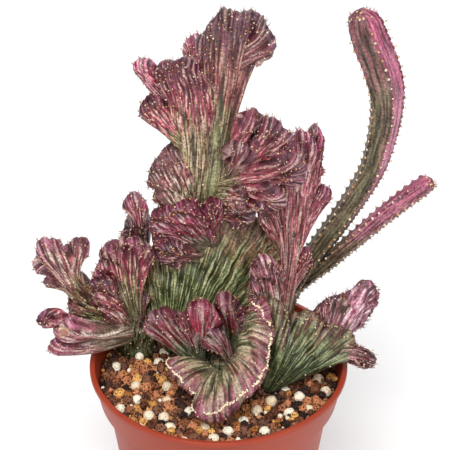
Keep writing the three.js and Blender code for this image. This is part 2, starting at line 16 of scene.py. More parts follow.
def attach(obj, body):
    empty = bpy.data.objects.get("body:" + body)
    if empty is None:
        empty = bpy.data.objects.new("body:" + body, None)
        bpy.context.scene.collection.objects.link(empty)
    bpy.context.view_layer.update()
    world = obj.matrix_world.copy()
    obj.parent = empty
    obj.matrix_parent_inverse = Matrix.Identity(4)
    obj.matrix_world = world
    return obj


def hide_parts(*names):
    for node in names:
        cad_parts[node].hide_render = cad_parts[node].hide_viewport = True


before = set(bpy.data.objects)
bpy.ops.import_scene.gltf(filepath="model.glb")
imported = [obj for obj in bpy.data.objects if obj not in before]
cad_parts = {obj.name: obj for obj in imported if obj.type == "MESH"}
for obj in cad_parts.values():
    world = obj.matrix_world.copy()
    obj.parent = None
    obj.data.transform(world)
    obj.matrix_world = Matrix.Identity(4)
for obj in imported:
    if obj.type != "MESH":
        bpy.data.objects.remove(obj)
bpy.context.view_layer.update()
MM = 0.001
random = np.random.default_rng(11)

# The photograph's camera, fitted to the ellipse of the pot's lip
CAMERA_PLACE = (3, -714.018, 652.885)
CAMERA_TILT = 56.53
CAMERA_LENS = 154.2

# The studio, in metres: the name, place, size and power of each light
FLOOR_SIZE = 12
WORLD_STRENGTH = 0.38
LIGHT_AIM = (0, 0, 0.15)
LIGHTS = (
    ("key", (-0.22, -0.8, 1.25), 0.8, 19.5),
    ("fill", (0.9, -0.6, 0.7), 0.8, 4.5),
    ("back", (0.1, 0.9, 1.0), 0.8, 6),
)

# The pot, as in the CAD part
POT_HEIGHT = 105
RIM_RADIUS = 60
LIP_WIDTH = 2.5
LIP_HEIGHT = 2.5
COLLAR_HEIGHT = 17
COLLAR_RADIUS = 58.6
COLLAR_FOOT = 55.7
SHOULDER_RADIUS = 52.3
BASE_RADIUS = 40
WALL = 1.6
FLOOR_THICKNESS = 2
DRAIN_HOLES = 8
DRAIN_HOLE_RADIUS = 3
DRAIN_CIRCLE_RADIUS = 28
FOOT_RING_WIDTH = 5
BASE_RECESS = 1.2
POT_CORNER_RADIUS = 0.7
SOIL_LEVEL = 95.6

# The bed: its gap to the wall, and how far its top lies under the level of the grains
BED_GAP = 0.3
BED_DEPTH = 1.6

# How many sides the turned bodies have
POT_SIDES = 160
BED_SIDES = 120
HOLE_SIDES = 24

# The grains. Pumice that isn't a crumb keeps to a narrow range of radii and lies higher
CRUMB_RADIUS = 1.4
LARGE_RADIUS = 1.9
PUMICE_SPACING = 7.0
PUMICE_RADII = (2.1, 2.7)
PUMICE_LIFT = 1.1
GRAIN_CELL = 8.0

# Layers of grains: tries, least and greatest radius, height over the bed, share of touching distance to keep
GRAIN_LAYERS = (
    (9000, 1.7, 3.6, -1.2, 0.86),
    (5000, 1.6, 3.0, 1.0, 0.8),
    (7000, 0.7, 1.3, 0.4, 0.78),
)

# How rough each kind of grain is
GRAIN_ROUGHNESS = {"pumice": 0.08, "ochre_clay": 0.22, "brown_lava": 0.42, "dark_lava": 0.44}

# The dark, light and pit colour of each kind, how much its pits show, and its relief in metres
# The pit colour is painted shade in the pores; on pumice it is also the stone's own brown specks
GRAIN_LOOKS = {
    "pumice": ((232, 212, 180), (250, 240, 218), (134, 96, 64), 0.5, 0.0004),
    "ochre_clay": ((168, 98, 44), (252, 190, 110), (60, 28, 14), 0.85, 0.0016),
    "brown_lava": ((98, 52, 34), (222, 146, 100), (12, 6, 5), 1.0, 0.0016),
    "dark_lava": ((42, 28, 24), (150, 100, 76), (6, 4, 4), 1.0, 0.0016),
}

# The shares of pumice, ochre clay, brown lava and dark lava among the grains
CRUMB_SHARES = (0.03, 0.15, 0.4, 0.42)
APART_SHARES = (0.55, 0.1, 0.15, 0.2)
NEAR_SHARES = (0, 0.18, 0.38, 0.44)

# The healed cut on the upper finger over the rim
SCAR_PLACE = (-70, -13, 131)
SCAR_RADIUS = 2.7

# The fine relief of the flesh
RIB_PITCH = 2.1
RIB_RELIEF = 0.75
AREOLE_PITCH = 4.3
CREST_AREOLE_PITCH = 2.2
CREST_BAND = 9
STREAK_REACH = 45
FOLD = 0.62
FOLD_DEPTH = 0.95
AREOLE_RADIUS = 0.38
FRINGE_PITCH = 2.1
COLUMN_AREOLE_PITCH = 4.7
COLUMN_AREOLE_SCALE = 1.5
COLUMN_TIP_AREOLES = 14
WOOL_PITCH = 0.42
SPINE_RADIUS = 0.2
SPINE_CORNERS = (0, 2.094, 4.189)

# How likely an areole has its first, second, third and fourth spine
SPINE_CHANCES = (0.95, 0.5, 0.2, 0.05)

# The turn between the areoles of neighbouring ribs, as a share of their pitch
GOLDEN_TURN = 0.618

# How far apart the points of the skins stand, across the ribs and along them
SKIN_STEP_ACROSS = 0.46
SKIN_STEP_ALONG = 1.4
COLUMN_STEP = 1.0
COLUMN_SIDES_PER_RIB = 20


def linear(red, green, blue):
    """A colour on the 0 to 255 scale of a picture, as linear light."""
    shares = np.array([red, green, blue]) / 255
    light = np.where(shares <= 0.04045, shares / 12.92, ((shares + 0.055) / 1.055) ** 2.4)
    return (*light, 1.0)


# Flesh colours: low on the crest, on its blushed upper part, at the growing line, and of the pale veins
TONES = {
    "green": ((66, 80, 40), (142, 126, 88), (116, 82, 68), (176, 176, 132)),
    "fern": ((46, 60, 32), (88, 84, 52), (100, 68, 60), (142, 148, 108)),
    "moss": ((60, 72, 42), (84, 88, 56), (90, 76, 60), (128, 134, 98)),
    "tall": ((128, 134, 94), (144, 92, 90), (100, 74, 88), (182, 158, 134)),
    "wine": ((146, 140, 100), (168, 88, 102), (110, 72, 90), (220, 188, 174)),
    "mauve": ((132, 136, 100), (158, 114, 110), (112, 76, 86), (212, 194, 178)),
    "pink": ((178, 142, 126), (204, 132, 148), (178, 104, 128), (236, 212, 212)),
    "magenta": ((120, 114, 96), (148, 66, 86), (128, 64, 88), (196, 186, 180)),
    # A lighter copy of the pink tones: painted light for the rear fan, which lies in shade behind the left
    # fan
    "pink_painted_light": ((200, 160, 150), (236, 158, 178), (206, 126, 152), (250, 228, 230)),
    "dusk": ((104, 94, 70), (128, 80, 84), (92, 62, 78), (190, 168, 158)),
    "orchid": ((130, 120, 90), (172, 94, 110), (150, 86, 114), (222, 196, 188)),
    "tan": ((138, 128, 98), (176, 124, 122), (150, 94, 114), (224, 206, 190)),
    "olive": ((88, 92, 50), (120, 98, 74), (130, 88, 88), (176, 168, 126)),
    "rose": ((134, 126, 92), (168, 100, 104), (152, 84, 110), (218, 190, 178)),
    "red": ((60, 76, 42), (124, 34, 50), (126, 56, 78), (160, 148, 142)),
    "lobe": ((64, 80, 44), (120, 50, 60), (114, 66, 84), (162, 154, 140)),
    "violet": ((130, 114, 98), (156, 100, 120), (122, 78, 100), (220, 198, 200)),
    "crimson": ((110, 108, 76), (142, 60, 80), (124, 66, 96), (196, 180, 150)),
    "ash": ((144, 128, 108), (176, 120, 126), (148, 92, 114), (232, 214, 202)),
    "curl": ((86, 88, 60), (138, 102, 86), (132, 76, 96), (174, 158, 130)),
}

# The same four tones on the shaded and the sunlit face of a column, and the tone of its ridges
SHADE_FACE = (linear(92, 88, 62), linear(116, 88, 82), linear(124, 76, 86), linear(156, 142, 126))
RIDGE_TONE = linear(148, 72, 92)
SUN_FACE = (linear(122, 88, 78), linear(178, 104, 132), linear(162, 84, 112), linear(218, 180, 190))


def smooth_curve(points, shares):
    """Places on a smooth curve through points, at shares of the length of its chords."""
    points = np.array(points, float)
    gaps = np.linalg.norm(np.diff(points, axis=0), axis=1)
    starts = np.concatenate([[0], np.cumsum(gaps)])
    place = np.clip(shares, 0, 1) * starts[-1]
    i = np.clip(np.searchsorted(starts, place, side="right") - 1, 0, len(gaps) - 1)
    s = ((place - starts[i]) / gaps[i])[:, None]
    slopes = np.diff(points, axis=0) / gaps[:, None]
    before, after = gaps[:-1, None], gaps[1:, None]
    inner = (slopes[:-1] * after + slopes[1:] * before) / (before + after)
    tangents = np.vstack([slopes[:1], inner, slopes[-1:]])
    span = gaps[i][:, None]
    found = points[i] * (2 * s**3 - 3 * s**2 + 1) + points[i + 1] * (3 * s**2 - 2 * s**3)
    return found + tangents[i] * span * (s**3 - 2 * s**2 + s) + tangents[i + 1] * span * (s**3 - s**2)


def stations(values, shares):
    """Values between equal stations. One value stands for all of them."""
    values = np.array(values, float)
    if len(values) == 1:
        return np.repeat(values, len(shares), axis=0)
    place = np.linspace(0, 1, len(values))
    return np.stack([np.interp(shares, place, column) for column in values.T], axis=1)


def unit(vectors):
    """The vectors at length 1."""
    return vectors / np.maximum(np.linalg.norm(vectors, axis=1), 1e-9)[:, None]


def smoothstep(low, high, value):
    """0 up to low, 1 from high on, and a smooth rise between them."""
    share = np.clip((value - low) / (high - low), 0, 1)
    return share * share * (3 - 2 * share)


def round_edge(distance, half):
    """1 inside, falling to 0 on a round edge within one half thickness of it."""
    return np.sqrt(np.clip(1 - (1 - np.minimum(distance / half, 1)) ** 2, 0, 1))


def uneven(x, y, seed):
    """Smooth variation over a face, mostly between -1 and 1. x and y are in millimetres."""
    total = np.zeros_like(x)
    for k, (fx, fy) in enumerate(((0.41, 0.13), (-0.23, 0.29), (0.11, -0.47), (0.59, 0.07), (-0.37, -0.19))):
        total = total + np.sin(fx * x + fy * y + 2.4 * seed * (k + 1) + k)
    return total / 2.6


@dataclass
class Crest:
    """A fan of flesh from its root to its growing line, both listed from the left end to the right end.

    bow is how far the middle stands off the straight way between them. thick is the thickness at the root
    and at the growing line, blush is where the high tone starts and where it is full, and wave is the height
    and number of the waves across. dots and fringe say how dense the areoles are on the faces and at the
    growing line, and wool is where along the growth the wool runs, or 0. pitch and relief are the distance
    and the height of the ribs, and fold is the height of the broad folds.
    """

    name: str
    root: list
    bow: list
    edge: list
    thick: tuple
    tones: str
    blush: tuple
    wave: tuple = (0, 1)
    pitch: float = RIB_PITCH
    relief: float = RIB_RELIEF
    fold: float = FOLD_DEPTH
    dots: float = 0.32
    fringe: float = 1.4
    wool: float = 0

    def __post_init__(self):
        samples = np.linspace(0, 1, 41)
        growth = np.linspace(0, 1, 25)
        grid = [self.middle(samples, np.full(41, v)) for v in growth]
        self.widths = np.array([np.linalg.norm(np.diff(line, axis=0), axis=1).sum() for line in grid])
        lengths = np.linalg.norm(np.diff(np.array(grid), axis=0), axis=2).sum(axis=0)
        self.reach = float(np.median(lengths))
        self.phase = float(random.random())
        self.band = min(0.45, self.thick[1] / 2 / self.reach)

    def middle(self, u, v):
        """The middle surface, bowed between root and growing line."""
        root = smooth_curve(self.root, u)
        edge = smooth_curve(self.edge, u)
        bend = (root + edge) / 2 + 2 * stations(self.bow, u)
        v = v[:, None]
        return root * (1 - v) ** 2 + bend * 2 * v * (1 - v) + edge * v**2

    def directions(self, u, v):
        """Unit vectors across the crest, along its growth and out of its front face."""
        step = 0.01
        across = self.middle(np.minimum(u + step, 1), v) - self.middle(np.maximum(u - step, 0), v)
        growth = self.middle(u, np.minimum(v + step, 1)) - self.middle(u, np.maximum(v - step, 0))
        return unit(across), unit(growth), unit(np.cross(unit(across), unit(growth)))

    def width(self, v):
        return np.interp(v, np.linspace(0, 1, len(self.widths)), self.widths)

    def rib_count(self, v):
        """How many ribs there are at v: they branch as the crest widens."""
        return np.maximum(np.log2(np.maximum(self.width(v), 1) / self.pitch), 1)

    def ribs(self, u, v):
        """The height of the ribs, 0 in a groove and 1 on a rib's top."""
        octave = self.rib_count(v)
        low = np.floor(octave)
        share = smoothstep(0.25, 0.75, octave - low)
        width = np.maximum(self.width(v), 1)
        x, y = u * width, v * self.reach
        sway = uneven(0.9 * x, 0.6 * y, self.phase) + 0.25 * uneven(1.7 * x, 1.3 * y, self.phase + 4)
        bent = u + 0.15 * self.pitch * sway * np.minimum(1, 6 * u * (1 - u)) / width
        wide = np.abs(np.sin(np.pi * 2**low * bent))
        fine = np.abs(np.sin(np.pi * 2 ** (low + 1) * bent))
        strength = 0.78 + 0.4 * uneven(1.7 * x, 0.8 * y, self.phase + 7)
        return ((1 - share) * wide**0.8 + share * fine**0.8) * np.clip(strength, 0.25, 1)

    def deepening(self, v):
        """The ribs are shallow low on the crest and stand out near its growing line."""
        return 0.62 + 0.38 * smoothstep(0.4, 0.95, v)

    def folds(self, u, v):
        """Broad folds across the crest, between -1 and 1, which deepen towards the growing line."""
        width = self.width(v)
        x, y = u * width, v * self.reach
        bend = 1.6 * uneven(0.35 * x, 0.5 * y, self.phase + 5)
        fold = np.sin(FOLD * x + 6 * self.phase + bend)
        return fold * smoothstep(0.2, 0.9, v) * np.minimum(1, width / 20)

    def beat(self, v):
        """Counts areoles along a rib: close together near the growing line."""
        along = v * self.reach
        inner = max(self.reach - CREST_BAND, 0)
        return np.minimum(along, inner) / AREOLE_PITCH + np.maximum(along - inner, 0) / CREST_AREOLE_PITCH

    def bumps(self, u, v):
        """Tubercles along the ribs, each under its areole."""
        count = 2 ** np.round(self.rib_count(v))
        offset = np.mod(np.floor(u * count) * GOLDEN_TURN, 1)
        return 0.5 + 0.5 * np.cos(2 * np.pi * (self.beat(v) + offset))

    def surface(self, u, v, side):
        """Places on the front (side 1) or back (side -1) face, with the direction out of the flesh."""
        across, growth, normal = self.directions(u, v)
        rib = self.ribs(u, v)
        width = self.width(v)
        thin = (self.thick[0] + (self.thick[1] - self.thick[0]) * v) / 2
        relief = np.minimum(self.relief, 0.1 * width / 2) * smoothstep(0, 0.35, v) * self.deepening(v)
        rounding = round_edge(np.minimum(u, 1 - u) * width, np.minimum(thin, width / 2))
        rounding = rounding * round_edge(1 - v, self.band)
        height = relief * (rib - 0.6 + 0.65 * rib * (self.bumps(u, v) - 0.5))
        x, y = u * width, v * self.reach
        swell = 0.4 * uneven(x, 0.8 * y, self.phase + 2) * np.minimum(1, width / 20)
        lift = (thin + height + swell) * rounding
        wave = self.wave[0] * v**2 * np.sin(2 * np.pi * (self.wave[1] * u + self.phase))
        wave = wave + 0.9 * v * np.minimum(1, width / 25) * uneven(0.6 * x, 0.5 * y, self.phase + 9)
        wave = wave + self.fold * self.folds(u, v)
        place = self.middle(u, v) + normal * (side * lift + wave)[:, None]
        scallop = 1.1 * (rib - 0.5) + 0.6 * uneven(0.7 * x, y, self.phase)
        scallop = scallop * smoothstep(1 - 2 * self.band, 1, v)
        place = place + growth * scallop[:, None]
        out = normal * (side * rounding)[:, None] + growth * (1 - rounding)[:, None]
        return place, unit(out), rib


@dataclass
class Column:
    """A round-tipped column with sharp ribs."""

    name: str
    path: list
    radii: list
    ribs: int = 5
    depth: float = 0.2

    def __post_init__(self):
        shares = np.linspace(0, 1, 200)
        line = smooth_curve(self.path, shares)
        self.length = float(np.linalg.norm(np.diff(line, axis=0), axis=1).sum())

    def surface(self, angle, v):
        """Places at an angle round the column and a share v of its length, with directions out of it."""
        step = 0.004
        centre = smooth_curve(self.path, v)
        growth = unit(smooth_curve(self.path, v + step) - smooth_curve(self.path, v - step))
        side = unit(np.cross([[0.0, 1.0, 0.0]], growth))
        front = np.cross(growth, side)
        radius = stations([[r] for r in self.radii], v)[:, 0]
        place = np.mod(angle * self.ribs / (2 * np.pi), 1)
        valley = 1 - np.abs(1 - 2 * place)
        rib = 1 - np.sqrt(valley**2 + 0.012) / math.sqrt(1.012)
        turn = np.floor(angle * self.ribs / (2 * np.pi) + 0.5)
        beat = v * self.length / COLUMN_AREOLE_PITCH + 0.5 * np.mod(turn, 2)
        knob = 0.5 + 0.5 * np.cos(2 * np.pi * beat)
        rounding = round_edge((1 - v) * self.length, radius)
        reach = radius * (1 - self.depth * (1 - rib) ** 0.8) + 1.2 * (knob - 0.5) * smoothstep(0.55, 0.9, rib)
        out = side * np.cos(angle)[:, None] + front * np.sin(angle)[:, None]
        point = centre + out * (reach * rounding)[:, None]
        lean = unit(out * rounding[:, None] + growth * (1 - rounding)[:, None])
        return point, lean, rib, out


# What crests of one kind share
CURL = dict(tones="curl", blush=(0.5, 1.05), pitch=7, relief=0.5, fold=0.5, dots=0.06, fringe=0.6)
LOBE = dict(pitch=6, fold=0.4, dots=0.5)
FOOT = dict(tones="moss", blush=(0.9, 1.4), relief=0.15, fringe=0)
TALL_FOLD = dict(thick=(7, 6), tones="dusk", blush=(-0.6, 0), wave=(0.2, 1), pitch=4.5, fringe=2)
LEFT_FOLD = dict(thick=(6, 5), wave=(0.2, 1), fringe=1.5)
FORK = dict(thick=(8, 8), tones="tan", blush=(0.1, 0.6), wave=(0.3, 1.5), pitch=3.8, relief=1.1, dots=0.35)
RIM_FINGER = dict(tones="ash", blush=(0.3, 0.8), wave=(0.2, 1), pitch=5)
BRANCH_CREST = dict(thick=(8, 7), tones="orchid", blush=(-0.2, 0.4), wave=(0.8, 1.5), pitch=4, relief=1.1,
                    fringe=2)

FRONT_CRESTS = [
    Crest("curl_left", [[0, -8, 97], [4, -13, 97]], bow=[[0, 0, 6], [0, 0, 8], [0, 0, 8]],
          edge=[[-23, -14, 116], [-24, -18, 115], [-20, -23, 113], [-14, -29, 110], [-9, -31, 108]],
          thick=(9, 6), wave=(0.5, 1), wool=0.95, **CURL),
    Crest("curl", [[0, -13, 97], [8, -14, 97], [12, -6, 97]],
          bow=[[-1, 3, 9], [0, 5, 12], [-3, 3, 13], [-4, 3, 13], [-1, 2, 8]],
          edge=[[-9, -33, 106], [-8, -41, 103], [-2, -43, 102], [6, -41, 107], [12, -37, 111],
                [19, -31, 115], [22, -26, 121], [24, -21, 127], [26, -17, 132], [24, -12, 137],
                [21, -8, 142], [16, -5, 144]],
          thick=(9, 8), wave=(1, 3), wool=0.955, **CURL),
    Crest("ear", [[-8, 1, 98], [-1, 4, 98]], bow=[[0, -1, 1], [-3, -2, 3]],
          edge=[[-32, 7, 117], [-33, 7, 124], [-30, 7, 129], [-25, 7, 131], [-20, 7, 129], [-18, 7, 124]],
          thick=(9, 9), tones="lobe", blush=(0.3, 0.7), wave=(0.3, 1), relief=1.1, fringe=2, **LOBE),
    Crest("red_lobe", [[-11, 1, 98], [-5, 2, 98]], bow=[[2, -1, 3], [-1, -2, 4]],
          edge=[[-16, 0, 121], [-17, 0, 130], [-14, 0, 137], [-9, 0, 140], [-5, 0, 139], [-2, 0, 135],
                [-3, 0, 127]],
          thick=(9, 10), tones="red", blush=(0.3, 0.6), wave=(0.2, 1), relief=1.2, fringe=1.5, **LOBE),
    Crest("back_lobe", [[3, 4, 98], [10, 5, 98]], bow=[[0, 1, 3], [1, 1, 4]],
          edge=[[-1, 7, 125], [-2, 7, 133], [1, 7, 138], [5, 7, 136], [9, 7, 130], [12, 6, 122]],
          thick=(9, 9), tones="lobe", blush=(0.35, 0.75), wave=(0.3, 1), relief=1.1, fringe=1.5, **LOBE),
    Crest("low_lobe", [[4, -1, 99], [9, 0, 99]], bow=[[1, -2, 3]],
          edge=[[-5, -3, 117], [-7, -3, 123], [-5, -3, 127], [-1, -3, 127], [3, -3, 124]],
          thick=(7, 7), tones="dusk", blush=(0.2, 0.6), wave=(0.2, 1), pitch=5, relief=1, dots=0.3),
    Crest("front_foot", [[-14, 2, 97], [13, 0, 97]], bow=[[0, 0, 1], [0, -1, 1]],
          edge=[[-12, 1, 109], [-4, 1, 107], [4, 0, 107], [11, 0, 109]],
          thick=(11, 8), dots=0.2, **FOOT),
]

FRONT_RIGHT_CRESTS = [
    Crest("green_fan", [[18, -8, 97], [29, -10, 97]], bow=[[1, -2, 2], [0, -4, 2], [0, -3, 2], [2, -1, 3]],
          edge=[[20, 2, 132], [23, 3, 139], [28, 2, 138], [32, 0, 134], [41, 0, 134], [47, -1, 130],
                [55, -2, 127], [61, -3, 124], [64, -5, 120], [66, -9, 114]],
          thick=(10, 7), tones="fern", blush=(0.3, 1.0), wave=(0.8, 3), pitch=5.5, relief=1, fringe=3),
    Crest("dark_lobe", [[49, -6, 114], [52, -5, 118]], bow=[[1, 0, 1], [2, 0, 0]],
          edge=[[64, -12, 111], [70, -13, 110], [72, -12, 114], [69, -9, 118], [65, -7, 119]],
          thick=(7, 6), tones="dusk", blush=(0.2, 0.6), wave=(0.5, 1)),
    Crest("purple_fold", [[46, -3, 112], [51, -4, 115]], bow=[[1, 2, 2], [1, 1, 3]],
          edge=[[42, 8, 125], [46, 8, 131], [52, 9, 135], [58, 10, 135], [61, 10, 131]],
          thick=(7, 6), tones="dusk", blush=(0, 0.3), wave=(0.4, 1), fringe=3),
    Crest("purple_fan", [[46, -4, 112], [54, -5, 112]], bow=[[2, 2, 1], [1, 2, 4]],
          edge=[[43, 11, 125], [48, 12, 130], [55, 14, 133], [64, 15, 137], [69, 16, 140], [73, 17, 136],
                [73, 16, 130], [68, 14, 124], [65, 12, 116]],
          thick=(8, 6), tones="violet", blush=(0.1, 0.5), wave=(1, 2), pitch=3, relief=1, fringe=2),
]

CENTRE_CRESTS = [
    Crest("green_sheet", [[-27, 19, 100], [-17, 19, 97]], bow=[[0, -1, 4], [0, -4, 2], [1, -3, 0]],
          edge=[[-34, 27, 112], [-34, 28, 130], [-31, 30, 148], [-18, 31, 159], [-2, 32, 166],
                [12, 32, 165], [23, 33, 160], [28, 33, 149], [27, 31, 138], [19, 27, 127]],
          thick=(10, 7), tones="green", blush=(0.45, 1.0), wave=(1.5, 2), pitch=5, relief=1),
    Crest("tall_fan", [[-12, 28, 154], [-3, 28, 154]], bow=[[5, -2, 3], [1, -3, 4], [-4, -1, 3]],
          edge=[[-4, 15, 264], [-5, 14, 271], [-3, 13, 276], [1, 12, 280], [6, 12, 281], [11, 12, 281],
                [16, 12, 280], [19, 11, 277], [22, 11, 272]],
          thick=(11, 7), tones="tall", blush=(0.25, 0.85), wave=(1, 2.5), pitch=2.8, relief=1, fold=0.6,
          fringe=2),
    Crest("tall_fold_high", [[9, 15, 263], [12, 15, 256]], bow=[[0, -2, 1], [0, -2, 0]],
          edge=[[17, 8, 273], [21, 7, 274], [24, 6, 271], [22, 7, 268]],
          **TALL_FOLD),
    Crest("tall_fold_low", [[8, 15, 256], [11, 15, 249]], bow=[[0, -2, 2]],
          edge=[[20, 7, 267], [23, 6, 267], [24, 6, 265], [19, 8, 263]],
          **TALL_FOLD),
    Crest("left_fan", [[-17, 28, 155], [-10, 28, 154]], bow=[[6, -3, 9], [4, -3, 10], [3, -1, 10]],
          edge=[[-27, 18, 245], [-25, 16, 254], [-18, 13, 256], [-13, 11, 259], [-8, 11, 255], [-4, 14, 245]],
          thick=(11, 7), tones="wine", blush=(0.35, 0.85), wave=(1.4, 2.4), pitch=2.5, relief=0.9),
    # Lighter pink tones, painted light against the shade that falls on it behind the left fan
    Crest("rear_fan", [[-9, 29, 215], [-3, 29, 218]], bow=[[0, 1, 4], [0, 0, 6]],
          edge=[[-15, 31, 249], [-13, 32, 257], [-9, 33, 259], [-5, 33, 254], [-2, 31, 246]],
          thick=(7, 6), tones="pink_painted_light", blush=(-0.5, 0.2), wave=(0.8, 1)),
    Crest("upper_finger", [[-21, 23, 222], [-16, 22, 231]], bow=[[0, 0, 1], [-1, -1, 2]],
          edge=[[-35, 21, 245], [-37, 21, 250], [-34, 20, 253], [-28, 19, 251]],
          thick=(9, 8), tones="pink", blush=(0, 0.4), wave=(0.2, 1)),
    Crest("lower_finger", [[-17, 21, 208], [-13, 19, 216]], bow=[[-1, -1, 2], [-2, -2, 3]],
          edge=[[-31, 14, 231], [-33, 12, 236], [-30, 11, 240], [-25, 12, 240]],
          thick=(9, 8), tones="wine", blush=(0.1, 0.5), wave=(0.2, 1)),
    Crest("round_fan", [[-15, 26, 160], [-9, 25, 165]], bow=[[0, -3, 1], [0, -5, 2], [1, -4, 3]],
          edge=[[-15, 24, 175], [-24, 21, 181], [-29, 18, 191], [-30, 17, 199], [-27, 17, 206],
                [-23, 19, 210], [-18, 22, 212], [-13, 25, 209]],
          thick=(10, 6), tones="mauve", blush=(0.3, 0.8), wave=(1, 3)),
    Crest("ball", [[3, 20, 206], [7, 19, 203]], bow=[[0, -2, 2], [1, -1, -1]],
          edge=[[10, 8, 230], [12, 7, 234], [15, 6, 235], [18, 6, 232], [18, 6, 227], [15, 8, 222]],
          thick=(8, 12), tones="wine", blush=(0, 0.5), relief=0.7, pitch=4, fold=0.15, fringe=2.5),
    Crest("knob", [[2, 20, 195], [5, 19, 194]], bow=[[0, -2, 2], [1, -2, 1]],
          edge=[[7, 9, 215], [7, 8, 219], [10, 7, 221], [13, 7, 220], [14, 8, 216], [12, 10, 213]],
          thick=(6, 10), tones="dusk", blush=(0.1, 0.6), relief=0.7, pitch=4, fold=0.15),
    Crest("right_fan_high", [[1, 22, 196], [3, 21, 192]], bow=[[1, 1, -3], [-1, 1, -2], [-1, 1, -1]],
          edge=[[18, 6, 229], [21, 4, 233], [25, 4, 232], [28, 4, 229], [31, 4, 224], [32, 4, 219],
                [29, 5, 215]],
          thick=(9, 8), tones="wine", blush=(0.15, 0.5), wave=(0.5, 2), pitch=3.6, relief=1.1, fringe=3),
    Crest("right_fan_low", [[0, 22, 193], [2, 21, 189]], bow=[[-2, 2, -2], [-2, 2, -1], [-2, 3, 0]],
          edge=[[28, -1, 217], [32, -2, 218], [36, -3, 216], [38, -3, 211], [37, -3, 206], [33, -2, 202]],
          thick=(9, 10), tones="wine", blush=(0.15, 0.5), wave=(0.3, 1.5), pitch=3.6, relief=1.1, fringe=3.5),
    Crest("hanging_fan", [[0, 22, 189], [1, 21, 185]], bow=[[-1, 2, 1]],
          edge=[[22, 2, 200], [27, 1, 198], [29, 1, 193], [27, 1, 189], [23, 2, 187], [18, 4, 188]],
          thick=(8, 8), tones="wine", blush=(0.1, 0.5), wave=(0.3, 1), pitch=4, relief=1.1, fringe=2.5),
    Crest("small_curl", [[-4, 24, 182], [-3, 24, 178]], bow=[[2, -2, 3], [2, -3, 2]],
          edge=[[9, 8, 195], [12, 6, 193], [12, 6, 188], [10, 7, 183], [7, 9, 181]],
          thick=(6, 6), tones="mauve", blush=(0.2, 0.7), wave=(0.3, 1)),
    Crest("dark_curl", [[-4, 26, 177], [-3, 27, 171]], bow=[[0, -2, 1], [1, -2, 0]],
          edge=[[12, 9, 186], [15, 8, 183], [16, 8, 178], [12, 9, 174], [6, 12, 173]],
          thick=(6, 6), tones="dusk", blush=(0.2, 0.6), wave=(0.4, 1)),
    Crest("middle_fan", [[-11, 27, 150], [1, 27, 158]], bow=[[0, -2, 2], [1, -3, 3], [0, -2, 2]],
          edge=[[-26, 18, 158], [-31, 15, 166], [-31, 13, 174], [-28, 12, 181], [-22, 11, 183],
                [-16, 11, 185], [-11, 12, 184], [-6, 14, 179]],
          thick=(9, 7), tones="magenta", blush=(0.1, 0.5), wave=(1.2, 2.5), fringe=2),
    Crest("twin_lobes", [[-5, 26, 155], [-1, 26, 156]], bow=[[0, -2, 3], [0, -3, 4]],
          edge=[[-7, 13, 177], [-5, 12, 184], [-1, 12, 187], [3, 13, 183], [4, 15, 177]],
          thick=(8, 7), tones="magenta", blush=(0.1, 0.5), wave=(0.6, 1)),
    Crest("bud", [[-4, 24, 157], [0, 24, 157]], bow=[[0, 0, 0]],
          edge=[[-5, 14, 166], [-3, 12, 169], [-1, 14, 167]],
          thick=(5, 6), tones="magenta", blush=(0.1, 0.4)),
    Crest("under_curl", [[-10, 25, 144], [-4, 25, 151]], bow=[[-1, -1, 2], [-2, -2, 0]],
          edge=[[-19, 14, 147], [-26, 13, 152], [-28, 13, 160], [-23, 13, 164], [-16, 14, 162]],
          thick=(7, 8), tones="dusk", blush=(0.1, 0.5), wave=(0.8, 1)),
]

